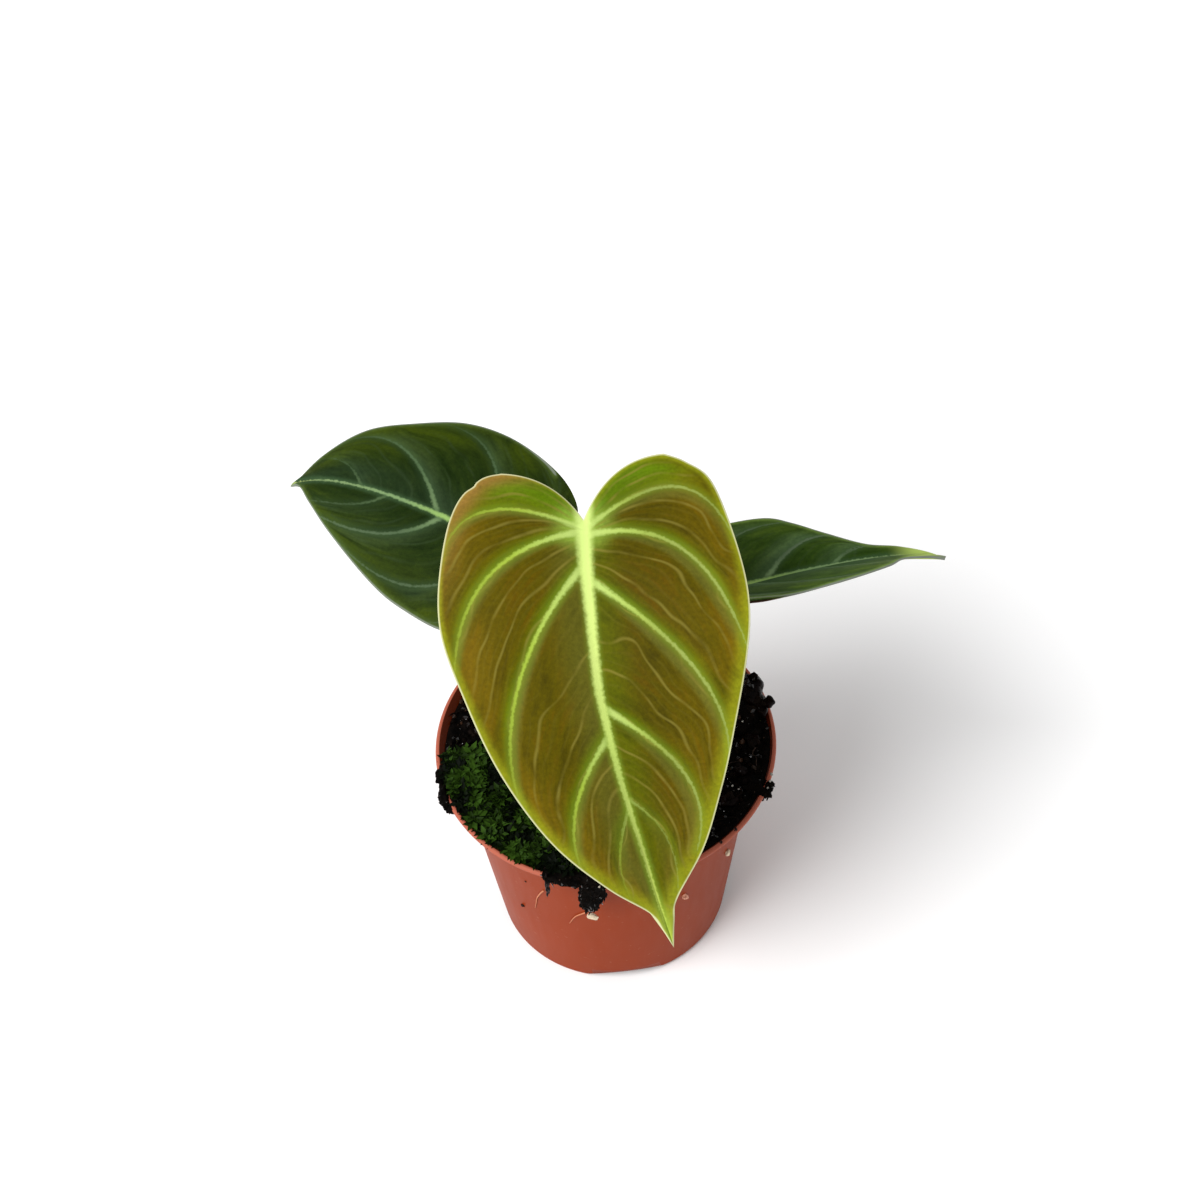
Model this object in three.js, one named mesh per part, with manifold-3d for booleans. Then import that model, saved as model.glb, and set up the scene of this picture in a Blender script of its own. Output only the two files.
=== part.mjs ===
// A young philodendron with three velvety heart-shaped leaves, in a thin 6 cm plastic nursery pot.
// Millimetres, +Z up. The origin is the centre of the pot's foot, and the newest leaf hangs towards -Y.
import * as THREE from "three";
import { mergeVertices } from "three/addons/utils/BufferGeometryUtils.js";
import Module from "manifold-3d";

const wasm = await Module();
wasm.setup();

// Pot: a thin tapered cup with a trumpet-shaped top band.
const POT_HEIGHT = 45;
const RIM_RADIUS = 30;
const NECK_RADIUS = 26;
const FOOT_RADIUS = 21.2;
const BAND_HEIGHT = 4.5;
const FOOT_FILLET = 1.3;
const WALL = 1;
const FLOOR = 1.2;
const FLARE_POWER = 1.6;
const POT_SIDES = 48;
const DRAIN_HOLES = { count: 6, radius: 2.4, circle: 12 };
const FOOT_NOTCHES = { count: 4, width: 17, height: 2.6, turn: -86 };

// Fit: the free space between any two pieces that touch.
const GAP = 0.3;

// Potting mix: a mound that is heaped a little over the rim.
const SOIL = { edge: 43.8, crown: 3.4, lump: 0.55, lumpSize: 3.2, sides: 48 };
const MOSS = { from: 180, to: 262.5, inner: 9, outer: 26, thickness: 1.5, shoots: 46 };

// Leaves.
const BLADE = 0.78;
const QUILT = 0.5;
const MIDRIB = { height: 1.1, width: 1.3 };
// The rows of a blade run out from the midrib to the margin, as its veins do. Each key row gives its start
// along the midrib, its end as a place on the outline, and how far it bows away from the tip.
const VEIN_KEYS = [
  { start: -0.012, end: 0, bow: 0, rows: 0 },
  { start: 0.006, end: 3.1, bow: 0.6, rows: 4 },
  { start: 0.024, end: 4.85, bow: 0.42, rows: 3 },
  { start: 0.115, end: 6.6, bow: 0.3, rows: 4 },
  { start: 0.44, end: 7.95, bow: 0.36, rows: 5 },
  { start: 0.63, end: 8.85, bow: 0.3, rows: 3 },
  { start: 1, end: 11, bow: 0.1, rows: 4 },
];
const VEIN_REACH = 0.12;
const COLUMNS = [0, 0.05, 0.15, 0.3, 0.48, 0.66, 0.84, 1];

// Outlines are half leaves as [along the midrib, out from it], from the end of the basal lobe towards the tip.
// The notch is the middle point of the curve from the leaf stalk to that first point.
const LEAVES = {
  front: {
    midrib: [[-1.5, 2, 99.2], [-2.1, -25.3, 94.4], [3.5, -33.4, 66.9], [9.2, -44, 46.4]],
    faces: [[0, -0.6, 0.8], [0, -0.8, 0.6]],
    fold: 9,
    arch: -0.1,
    lobeLift: 1,
    halfWidth: 25,
    colour: 0x6d6316,
    left: {
      notch: [-6, 5.6],
      outline: [[-8.9, 13.1], [-7.8, 16.6], [-3.4, 20.4], [5.6, 22.9], [15, 23.9], [25, 21.7],
        [36.9, 18.5], [49.6, 13.5], [60, 7.1], [66.7, 1.9], [70.3, 0.8]],
    },
    right: {
      notch: [-9.6, 3],
      outline: [[-11.5, 13.3], [-9.9, 16.8], [-6.3, 20.8], [3.4, 23.7], [15.5, 25.1], [26, 23.3],
        [40, 18.2], [48.4, 14.4], [57.2, 9.6], [65.4, 3], [69.3, 1.5]],
    },
    stalk: { radius: 1.5, via: [[0.3, 0.6, 56], [1.2, 3.2, 76], [0.1, 3.6, 92]], root: [0, 0.3, 50] },
  },
  left: {
    midrib: [[-10.3, 7, 86.8], [-23.1, 16.1, 86.1], [-41.6, 25, 93.3], [-51.8, 31, 81.5]],
    faces: [[0.1, -0.342, 0.94], [0.1, -0.342, 0.94]],
    fold: -5,
    arch: -0.1,
    lobeLift: 0.6,
    halfWidth: 18,
    colour: 0x31401f,
    left: {
      notch: [-3.4, 1.6],
      outline: [[-5.5, 5], [-4.6, 7.4], [-1.5, 10.6], [3, 14.6], [8.4, 18], [15.6, 19.8],
        [23.2, 19], [31, 15.2], [38, 11.4], [43.7, 5.4], [47, 1.4]],
    },
    right: {
      notch: [-3.8, 2],
      outline: [[-6, 6], [-5, 9.5], [-1.5, 13.2], [3.5, 15.9], [8.7, 17.3], [15.5, 16.9],
        [21.5, 15.7], [28.9, 12.7], [36.8, 8.4], [43, 3.9], [46.5, 0.9]],
    },
    stalk: { radius: 1.3, via: [[-5, 1.9, 53.6], [-9, 5, 68], [-10.8, 7.6, 80]], root: [-0.8, 0.4, 47.5] },
  },
  right: {
    midrib: [[12.5, 6, 74.4], [28.1, 11.5, 71.4], [47.7, 15.5, 75.2], [61.1, 20, 65.4]],
    faces: [[-0.05, 0.342, 0.94], [-0.05, 0.342, 0.94]],
    fold: 20,
    arch: -0.05,
    lobeLift: 0.6,
    halfWidth: 16,
    colour: 0x38472a,
    left: {
      notch: [-4.4, 1.8],
      outline: [[-6.5, 5.5], [-5.5, 8], [-2, 9.6], [3.4, 10.8], [10.3, 12.3], [16, 14.6],
        [22.7, 14.2], [29.5, 12.3], [35.9, 8.6], [40.6, 3.6], [45.5, 2.2]],
    },
    right: {
      notch: [-4.4, 1.8],
      outline: [[-6.5, 5.5], [-5.8, 9], [-2.5, 12.3], [3, 14.2], [9, 15], [16.2, 15.1],
        [22.4, 14.2], [26.3, 11.5], [31, 7.5], [36.9, 3.6], [43.5, 2.3]],
    },
    stalk: { radius: 1.3, via: [[5, 0.8, 52.6], [10.4, 3.4, 61], [12.5, 5, 69]], root: [0.8, 0, 47] },
  },
};

// Stem: a short rooted stem with the ring scars of older leaves.
const STEM = { bottom: 24, top: 51.5, radius: 3.1, topRadius: 2.1, ring: 0.35, rings: 4, sides: 12, steps: 16 };

const PLASTIC = { color: 0xa8563c, roughness: 0.42 };
const WET_MIX = { color: 0x0b0d09, roughness: 0.5 };

const point = (xyz) => new THREE.Vector3(...xyz);
const radians = THREE.MathUtils.degToRad;

// A small repeatable random number generator.
function randomFrom(seed) {
  let state = seed;
  return () => {
    state = (state * 1664525 + 1013904223) % 4294967296;
    return state / 4294967296;
  };
}

// Smooth unevenness between about -1 and 1, from three crossing waves.
function unevenness(x, y, z = 0) {
  return (Math.sin(x * 1.3 + y * 0.7 + z) + Math.sin(y * 1.9 - x * 0.8 + 2.1) +
    Math.sin(x * 2.3 + z * 1.7 + 0.6) * Math.cos(y * 2.1 - z)) / 3;
}

// Points and triangles to a closed solid, with shared points merged and its faces turned outwards.
function solid(geometry) {
  geometry.deleteAttribute("normal");
  geometry.deleteAttribute("uv");
  const merged = mergeVertices(geometry, 1e-4);
  const corners = [];
  for (let i = 0; i < merged.index.count; i += 3) {
    const [a, b, c] = [0, 1, 2].map((k) => merged.index.getX(i + k));
    if (a !== b && b !== c && c !== a) corners.push(a, b, c);
  }
  const make = (triVerts) => new wasm.Manifold(new wasm.Mesh({
    numProp: 3,
    vertProperties: Float32Array.from(merged.attributes.position.array),
    triVerts: Uint32Array.from(triVerts),
  }));
  const made = make(corners);
  return made.volume() < 0 ? make(corners.reverse()) : made;
}

function geometryOf(made) {
  const { vertProperties, triVerts } = made.getMesh();
  const geometry = new THREE.BufferGeometry();
  geometry.setAttribute("position", new THREE.BufferAttribute(vertProperties, 3));
  geometry.setIndex(new THREE.BufferAttribute(triVerts, 1));
  geometry.computeVertexNormals();
  return geometry;
}

function fromFaces(points, faces) {
  const geometry = new THREE.BufferGeometry().setFromPoints(points);
  geometry.setIndex(faces);
  return solid(geometry);
}

// A closed body through a stack of rings with equal counts of points, with a fan over each end.
function loft(rings) {
  const count = rings[0].length;
  const points = rings.flat();
  const faces = [];
  for (let i = 0; i + 1 < rings.length; i++) {
    for (let k = 0; k < count; k++) {
      const [a, b] = [i * count + k, i * count + ((k + 1) % count)];
      faces.push(a, b, b + count, a, b + count, a + count);
    }
  }
  for (const [first, turned] of [[0, true], [(rings.length - 1) * count, false]]) {
    const middle = new THREE.Vector3();
    for (let k = 0; k < count; k++) middle.addScaledVector(points[first + k], 1 / count);
    points.push(middle);
    for (let k = 0; k < count; k++) {
      const [a, b] = [first + k, first + ((k + 1) % count)];
      faces.push(...(turned ? [b, a] : [a, b]), points.length - 1);
    }
  }
  return fromFaces(points, faces);
}

// A closed body between two grids of points that are split into triangles alike.
function slab(top, bottom) {
  const rows = top.length;
  const columns = top[0].length;
  const points = [...top.flat(), ...bottom.flat()];
  const under = rows * columns;
  const at = (i, j) => i * columns + j;
  const faces = [];
  for (let i = 0; i + 1 < rows; i++) {
    for (let j = 0; j + 1 < columns; j++) {
      const [a, b, c, d] = [at(i, j), at(i, j + 1), at(i + 1, j + 1), at(i + 1, j)];
      faces.push(a, b, c, a, c, d, a + under, c + under, b + under, a + under, d + under, c + under);
    }
  }
  const edge = [];
  for (let j = 0; j < columns - 1; j++) edge.push(at(0, j));
  for (let i = 0; i < rows - 1; i++) edge.push(at(i, columns - 1));
  for (let j = columns - 1; j > 0; j--) edge.push(at(rows - 1, j));
  for (let i = rows - 1; i > 0; i--) edge.push(at(i, 0));
  edge.forEach((a, k) => {
    const b = edge[(k + 1) % edge.length];
    faces.push(b, a, a + under, b, a + under, b + under);
  });
  return fromFaces(points, faces);
}

// A round stalk along a smooth curve, with its radius given along it from 0 to 1.
function stalk(route, radiusAt, sides, steps) {
  const curve = new THREE.CatmullRomCurve3(route.map(point), false, "centripetal");
  const { normals, binormals } = curve.computeFrenetFrames(steps);
  const rings = normals.map((normal, i) => {
    const centre = curve.getPointAt(i / steps);
    return Array.from({ length: sides }, (_, k) => {
      const angle = (2 * Math.PI * k) / sides;
      const radius = radiusAt(i / steps);
      return centre.clone()
        .addScaledVector(normal, Math.cos(angle) * radius)
        .addScaledVector(binormals[i], Math.sin(angle) * radius);
    });
  });
  return loft(rings);
}

// An uneven round lump, with its own size along X, Y and Z.
function lump(centre, size, seed, roughness = 0.3) {
  const geometry = new THREE.IcosahedronGeometry(1, 1);
  const positions = geometry.attributes.position;
  const p = new THREE.Vector3();
  for (let i = 0; i < positions.count; i++) {
    p.fromBufferAttribute(positions, i);
    p.multiplyScalar(1 + roughness * unevenness(p.x * 2.2 + seed, p.y * 2.2, p.z * 2.2 + seed));
    p.multiply(point(size)).add(point(centre));
    positions.setXYZ(i, p.x, p.y, p.z);
  }
  return solid(geometry);
}

const joined = (solids) => solids.reduce((a, b) => a.add(b));
const largest = (made) => made.decompose().sort((a, b) => b.volume() - a.volume())[0];

// The pot
function potRadius(z) {
  const flare = (z - (POT_HEIGHT - BAND_HEIGHT)) / BAND_HEIGHT;
  if (flare > 0) return NECK_RADIUS + (RIM_RADIUS - NECK_RADIUS) * flare ** FLARE_POWER;
  const share = (z - FOOT_FILLET) / (POT_HEIGHT - BAND_HEIGHT - FOOT_FILLET);
  return FOOT_RADIUS + (NECK_RADIUS - FOOT_RADIUS) * share;
}

// grow thickens the wall both ways, for cutting what lies on it.
function potSolid(grow = 0) {
  const outer = [[0, -grow]];
  for (let i = 0; i <= 3; i++) {
    const turn = (Math.PI / 2) * (i / 3);
    const radius = FOOT_RADIUS - FOOT_FILLET + (FOOT_FILLET + grow) * Math.sin(turn);
    outer.push([radius, FOOT_FILLET - (FOOT_FILLET + grow) * Math.cos(turn)]);
  }
  const inner = [];
  for (const height of [0, 1.5, 2.6, 3.5, 4.1]) {
    const z = POT_HEIGHT - BAND_HEIGHT + height;
    outer.push([potRadius(z) + grow, z]);
    inner.unshift([potRadius(z) - WALL - grow, z]);
  }
  const lip = [
    [RIM_RADIUS + grow, POT_HEIGHT - 0.35],
    [RIM_RADIUS - 0.3 + grow / 2, POT_HEIGHT + grow],
    [RIM_RADIUS - 1.2 - grow / 2, POT_HEIGHT + grow],
  ];
  const floor = [
    [potRadius(FLOOR + grow + 1) - WALL - grow, FLOOR + grow + 1],
    [potRadius(FLOOR) - WALL - grow - 0.8, FLOOR + grow],
    [0, FLOOR + grow],
  ];
  const profile = [...outer, ...lip, ...inner, ...floor].map(([r, z]) => new THREE.Vector2(r, z));
  return solid(new THREE.LatheGeometry(profile, POT_SIDES).rotateX(Math.PI / 2));
}

function drainHoles() {
  return Array.from({ length: DRAIN_HOLES.count }, (_, k) => {
    const angle = radians(30 + (360 * k) / DRAIN_HOLES.count);
    const hole = new THREE.CylinderGeometry(DRAIN_HOLES.radius, DRAIN_HOLES.radius, 6, 16);
    hole.rotateX(Math.PI / 2);
    hole.translate(DRAIN_HOLES.circle * Math.cos(angle), DRAIN_HOLES.circle * Math.sin(angle), 0);
    return solid(hole);
  });
}

// Low arches in the foot's edge, that let water out from under the pot.
function footNotches() {
  const { count, width, height, turn } = FOOT_NOTCHES;
  const radius = ((width / 2) ** 2 + height ** 2) / (2 * height);
  const length = 3.4;
  return Array.from({ length: count }, (_, k) => {
    const arch = new THREE.CylinderGeometry(radius, radius, length, 96);
    arch.translate(0, FOOT_RADIUS - 0.6, 0);
    arch.rotateZ(radians(turn - 90 + (360 * k) / count));
    arch.translate(0, 0, height - radius);
    return solid(arch);
  });
}

function pot() {
  return potSolid().subtract(joined([...drainHoles(), ...footNotches()]));
}

// The potting mix
function soilHeight(radius, angle) {
  const [x, y] = [radius * Math.cos(angle), radius * Math.sin(angle)];
  const mound = SOIL.crown * (1 - (radius / NECK_RADIUS) ** 2);
  const lumps = SOIL.lump * unevenness(x / SOIL.lumpSize, y / SOIL.lumpSize, 1);
  return SOIL.edge + Math.max(mound, 0) + lumps * Math.min(1, (RIM_RADIUS - radius) / 4);
}

const SOIL_RINGS = [25.9, 24.4, 22.3, 20, 17.6, 15.2, 12.4, 9.4, 6.2, 3];

function soilBase() {
  const ring = (radius, heightAt) => Array.from({ length: SOIL.sides }, (_, k) => {
    const angle = (2 * Math.PI * k) / SOIL.sides;
    return new THREE.Vector3(radius * Math.cos(angle), radius * Math.sin(angle), heightAt(angle));
  });
  const bottom = FLOOR + GAP;
  const wall = [bottom + 1, POT_HEIGHT - BAND_HEIGHT, POT_HEIGHT - 3, SOIL.edge].map((z) =>
    ring(potRadius(z) - WALL - 1.2 * GAP, () => z));
  return loft([
    ring(potRadius(bottom) - WALL - GAP - 1.1, () => bottom),
    ...wall,
    ...SOIL_RINGS.map((radius) => ring(radius, (angle) => soilHeight(radius, angle))),
  ]);
}

// Wet clumps that lie on the mix and hang over the rim: place, size, and a number for their uneven shape.
const CLUMPS = [
  [[-4.2, -27.2, 44.6], [4.4, 3.8, 2.5], 3],
  [[-4, -29.9, 40.6], [3, 1.7, 4.8], 5],
  [[-4.2, -28.2, 36], [2, 1.5, 3.2], 11],
  [[-10.6, -25.2, 44.4], [2.6, 4, 2.6], 7],
  [[-11.6, -28.6, 43], [0.9, 1.3, 3.8], 8],
  [[-25.4, -8.8, 44.2], [4.2, 4.6, 2.4], 13],
  [[-28.6, -9.6, 44.2], [1.6, 3.2, 2], 17],
  [[25.2, -10.7, 44.2], [4.2, 3.2, 2.5], 19],
  [[28.2, -11.4, 44.4], [1.5, 2, 1.9], 23],
  [[24.6, 6.4, 44.6], [3.4, 5.4, 2.8], 29],
  [[25.8, 8, 46.6], [1.8, 3, 2.8], 31],
  [[25.7, 9.4, 47.8], [1.5, 2, 1.7], 37],
  [[27.7, 6.8, 46.8], [1.3, 3, 1.1], 41],
  [[29.3, 4.8, 47.2], [1, 1, 1], 43],
];

function clumps(grow = 0) {
  return joined(CLUMPS.map(([centre, size, seed]) => lump(centre, size.map((s) => s + grow), seed)));
}

function soil() {
  const hole = new THREE.CylinderGeometry(STEM.radius + STEM.ring + GAP, STEM.radius + STEM.ring + GAP,
    60, 24);
  hole.rotateX(Math.PI / 2);
  hole.translate(0, 0, STEM.bottom - GAP + 30);
  return largest(clumps().subtract(potSolid(GAP)).add(soilBase()).subtract(solid(hole)));
}

// The moss: a cushion that follows the mix under it, with upright leafy shoots.
function moss() {
  const radii = SOIL_RINGS.filter((r) => r <= MOSS.outer && r >= MOSS.inner);
  const step = 360 / SOIL.sides;
  const angles = [];
  for (let a = MOSS.from; a <= MOSS.to; a += step) angles.push(radians(a));
  const surface = (heightOver) => radii.map((r, i) => angles.map((a, k) => {
    const place = Math.sin((Math.PI * k) / (angles.length - 1)) * Math.sin((Math.PI * (i + 1)) / (radii.length + 1));
    const height = soilHeight(r, a) + heightOver(r, a, place);
    return new THREE.Vector3(r * Math.cos(a), r * Math.sin(a), height);
  }));
  const cushion = (r, a, place) =>
    GAP + 0.7 + MOSS.thickness * Math.sqrt(Math.max(place, 0)) * (1 + 0.3 * unevenness(r, a * 20));
  const mat = slab(surface(cushion), surface(() => GAP));
  const random = randomFrom(7);
  const shoots = Array.from({ length: MOSS.shoots }, () => {
    const r = THREE.MathUtils.lerp(MOSS.inner + 2, MOSS.outer - 1.6, random());
    const a = radians(THREE.MathUtils.lerp(MOSS.from + 6, MOSS.to - 8, random()));
    const shoot = new THREE.ConeGeometry(0.55 + 0.3 * random(), 2.6 + 1.2 * random(), 4);
    shoot.rotateX(Math.PI / 2 + 0.7 * (random() - 0.5));
    shoot.rotateY(0.7 * (random() - 0.5));
    shoot.translate(r * Math.cos(a), r * Math.sin(a), soilHeight(r, a) + 2.5);
    return solid(shoot);
  });
  return largest(joined([mat, ...shoots]).subtract(clumps(1.3 * GAP)));
}

// The leaves
// A leaf's surface: along its curved midrib u, and out from it v, which is negative on its left half.
function leafSurface(leaf) {
  const curve = new THREE.CubicBezierCurve3(...leaf.midrib.map(point));
  const length = curve.getLength();
  const faces = leaf.faces.map((f) => point(f).normalize());
  const fold = radians(leaf.fold);
  const at = (u, v, lift = 0) => {
    const share = THREE.MathUtils.clamp(u / length, 0, 1);
    const tangent = curve.getTangentAt(share).normalize();
    const centre = curve.getPointAt(share).addScaledVector(tangent, u - share * length);
    const normal = faces[0].clone().lerp(faces[1], share);
    normal.addScaledVector(tangent, -normal.dot(tangent)).normalize();
    const across = normal.clone().cross(tangent);
    const out = Math.abs(v);
    const height = out * Math.sin(fold) + leaf.arch * (out / leaf.halfWidth) ** 2 * leaf.halfWidth +
      leaf.lobeLift * Math.max(0, -u / 12) ** 2;
    return centre.addScaledVector(across, v * Math.cos(fold)).addScaledVector(normal, height + lift);
  };
  return { at, length };
}

// One row of a half blade, as a curve from the midrib to the margin. Rows in the basal lobe turn from the
// notch's own curve to the first main vein.
function veinLine(half, length, key) {
  const outline = new THREE.SplineCurve([...half.outline, [length, 0]].map(([u, v]) => new THREE.Vector2(u, v)));
  const startOf = ({ start }) => new THREE.Vector2(start * length, 0);
  const endOf = ({ end }) => outline.getPoint(end / half.outline.length);
  const bendOf = (row) => {
    const [start, end] = [startOf(row), endOf(row)];
    const chord = end.clone().sub(start);
    const across = new THREE.Vector2(-chord.y, chord.x);
    return start.lerp(end, 0.5).addScaledVector(chord, VEIN_REACH).addScaledVector(across, row.bow);
  };
  const notch = new THREE.Vector2(...half.notch);
  const bend = key.share < 1 ? notch.lerp(bendOf(VEIN_KEYS[1]), key.share) : bendOf(key);
  return new THREE.QuadraticBezierCurve(startOf(key), bend, endOf(key));
}

// Every row of a blade, with its share of the way between two main veins.
function bladeRows() {
  const rows = [{ ...VEIN_KEYS[0], share: 0, between: 0 }];
  VEIN_KEYS.slice(1).forEach((key, index) => {
    const before = VEIN_KEYS[index];
    for (let i = 1; i <= key.rows; i++) {
      const part = i / key.rows;
      const mix = (name) => THREE.MathUtils.lerp(before[name], key[name], part);
      rows.push({
        start: mix("start"),
        end: mix("end"),
        bow: mix("bow"),
        share: index ? 1 : part,
        between: part % 1,
      });
    }
  });
  return rows;
}

// grow thickens the blade both ways, for cutting the stalk that meets it.
function leafSolid(leaf, grow = 0) {
  const { at, length } = leafSurface(leaf);
  const places = [...COLUMNS.slice(1).reverse().map((t) => -t), ...COLUMNS];
  const layer = (under) => bladeRows().map((row) => places.map((place) => {
    const t = Math.abs(place);
    const { x: u, y: out } = veinLine(place < 0 ? leaf.left : leaf.right, length, row).getPoint(t);
    const v = place < 0 ? -out : out;
    const quilt = QUILT * Math.sin(Math.PI * row.between) * Math.sin(Math.PI * t ** 0.8);
    const rib = MIDRIB.height * Math.exp(-((v / MIDRIB.width) ** 2)) * THREE.MathUtils.clamp(1 - u / length, 0, 1);
    return at(u, v, quilt + (under ? -BLADE - rib - grow : grow));
  }));
  return slab(layer(false), layer(true));
}

function stemSolid(grow = 0) {
  const { bottom, top, radius, topRadius, ring, rings, sides, steps } = STEM;
  const radiusAt = (t) => THREE.MathUtils.lerp(radius, topRadius, t ** 2) + grow +
    ring * Math.max(0, Math.cos(2 * Math.PI * rings * t)) ** 6;
  return stalk([[0, 0, bottom - grow], [0.1, 0.1, (bottom + top) / 2], [0, 0, top + grow]], radiusAt, sides, steps);
}

// A leaf stalk, cut clear of the stem that it grows from and of the blade that it carries.
function leafStalk(leaf) {
  const { at } = leafSurface(leaf);
  const { radius, via, root } = leaf.stalk;
  const route = [root, ...via, at(0.4, 0, -BLADE - 2.2).toArray(), at(0.4, 0, -BLADE / 2).toArray()];
  const radiusAt = (t) => radius * (1.35 - 0.5 * Math.min(1, t * 2.5) + 0.15 * Math.max(0, t * 8 - 7));
  return largest(stalk(route, radiusAt, 8, 20).subtract(stemSolid(GAP)).subtract(leafSolid(leaf, GAP)));
}

// Grit and bark that stick to the pot's outside: angle round the pot, height and size.
const SPECKS = {
  grit_front: { angle: -98, z: 32.1, size: [1.1, 0.6, 0.7], out: 3, color: 0xd9c9ae },
  grit_right: { angle: -34.2, z: 28.4, size: [0.45, 0.45, 0.7], out: 0, color: 0xeee4d8 },
  bark_right: { angle: -59.2, z: 25.8, size: [0.5, 0.4, 0.9], out: 0, color: 0xd79c86 },
};

function speck({ angle, z, size, out }) {
  const turn = radians(angle);
  const radius = potRadius(z) + out + size[1] * 0.6;
  return lump([radius * Math.cos(turn), radius * Math.sin(turn), z], size, z, 0.25)
    .subtract(potSolid(GAP)).subtract(clumps(1.3 * GAP));
}

// Assembly
const plant = new THREE.Group();

function place(name, made, look) {
  const mesh = new THREE.Mesh(geometryOf(made), new THREE.MeshStandardMaterial({ metalness: 0, ...look }));
  mesh.name = name;
  plant.add(mesh);
}

place("pot", pot(), PLASTIC);
place("soil", soil(), WET_MIX);
place("moss", moss(), { color: 0x2e4012, roughness: 0.9 });
place("stem", stemSolid(), { color: 0x6b7434, roughness: 0.55 });
for (const [name, leaf] of Object.entries(LEAVES)) {
  place(`leaf_${name}`, leafSolid(leaf), { color: leaf.colour, roughness: 0.6 });
  place(`petiole_${name}`, leafStalk(leaf), { color: 0x7d8a3a, roughness: 0.5 });
}
for (const [name, spec] of Object.entries(SPECKS)) {
  place(name, speck(spec), { color: spec.color, roughness: 0.7 });
}

export default plant;
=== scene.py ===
import math
import random
from functools import partial

import bmesh
import bpy
import numpy as np
from bpy.props import FloatProperty, FloatVectorProperty, IntProperty, PointerProperty
from mathutils import Euler, Matrix, Vector, noise
from mathutils.bvhtree import BVHTree


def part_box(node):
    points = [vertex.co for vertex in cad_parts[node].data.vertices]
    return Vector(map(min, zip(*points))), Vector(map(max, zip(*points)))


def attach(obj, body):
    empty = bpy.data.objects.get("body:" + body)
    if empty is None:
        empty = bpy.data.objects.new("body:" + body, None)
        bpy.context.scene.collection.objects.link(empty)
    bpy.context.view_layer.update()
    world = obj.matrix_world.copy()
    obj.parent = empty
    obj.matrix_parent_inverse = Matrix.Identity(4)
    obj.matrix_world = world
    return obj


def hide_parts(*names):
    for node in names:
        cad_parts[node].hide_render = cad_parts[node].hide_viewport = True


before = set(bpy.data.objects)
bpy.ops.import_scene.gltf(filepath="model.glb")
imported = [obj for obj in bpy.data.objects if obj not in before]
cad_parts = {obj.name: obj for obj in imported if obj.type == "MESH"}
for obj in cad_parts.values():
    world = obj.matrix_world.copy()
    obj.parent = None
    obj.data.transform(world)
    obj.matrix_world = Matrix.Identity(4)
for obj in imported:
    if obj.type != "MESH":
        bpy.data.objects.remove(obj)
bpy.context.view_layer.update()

bl_info = {
    "name": "Potted young philodendron",
    "version": (1, 0, 0),
    "blender": (4, 5, 0),
    "location": "View3D > Sidebar > Plant",
    "description": "Velvety heart-shaped leaves, stalks, wet potting mix and moss in a small nursery pot",
    "category": "Object",
}

# All lengths below are millimetres in the frame of the pot: Z up, origin in the middle of its foot.
MM = 0.001

# Pot
POT_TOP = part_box("pot")[1].z / MM
RIM_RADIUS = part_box("pot")[1].x / MM
NECK_RADIUS = 26
FOOT_RADIUS = 21.2
BAND_HEIGHT = 4.5
FOOT_FILLET = 1.3
WALL = 1.0
LIP = 1.05
FLOOR_THICKNESS = 1.2
FLARE = {"reach": 5.44, "power": 1.6, "end": 0.79}
DRAIN_HOLES = {"count": 6, "radius": 2.4, "circle": 12, "first": 30}
FOOT_NOTCHES = {"count": 4, "width": 17, "height": 2.6, "turn": -86, "length": 3.4}

# Potting mix: a lumpy mound, and how high it stands against the wall round the pot, as (degrees, height).
MIX = {"top": 44, "spread": 28, "crown": 3.2, "lump": 0.6, "lump_size": 3.2, "gap": 0.12, "segments": 240}
MIX_EDGE = [(0, 44.8), (40, 44.2), (90, 43.8), (140, 44), (175, 44.4), (190, 44.7), (205, 44.9), (330, 44.9),
            (360, 44.8)]
STEM_HOLE = 3.75
MOSS_AREA = {"from": 180, "to": 268, "inner": 10, "outer": 28.7}

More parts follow.
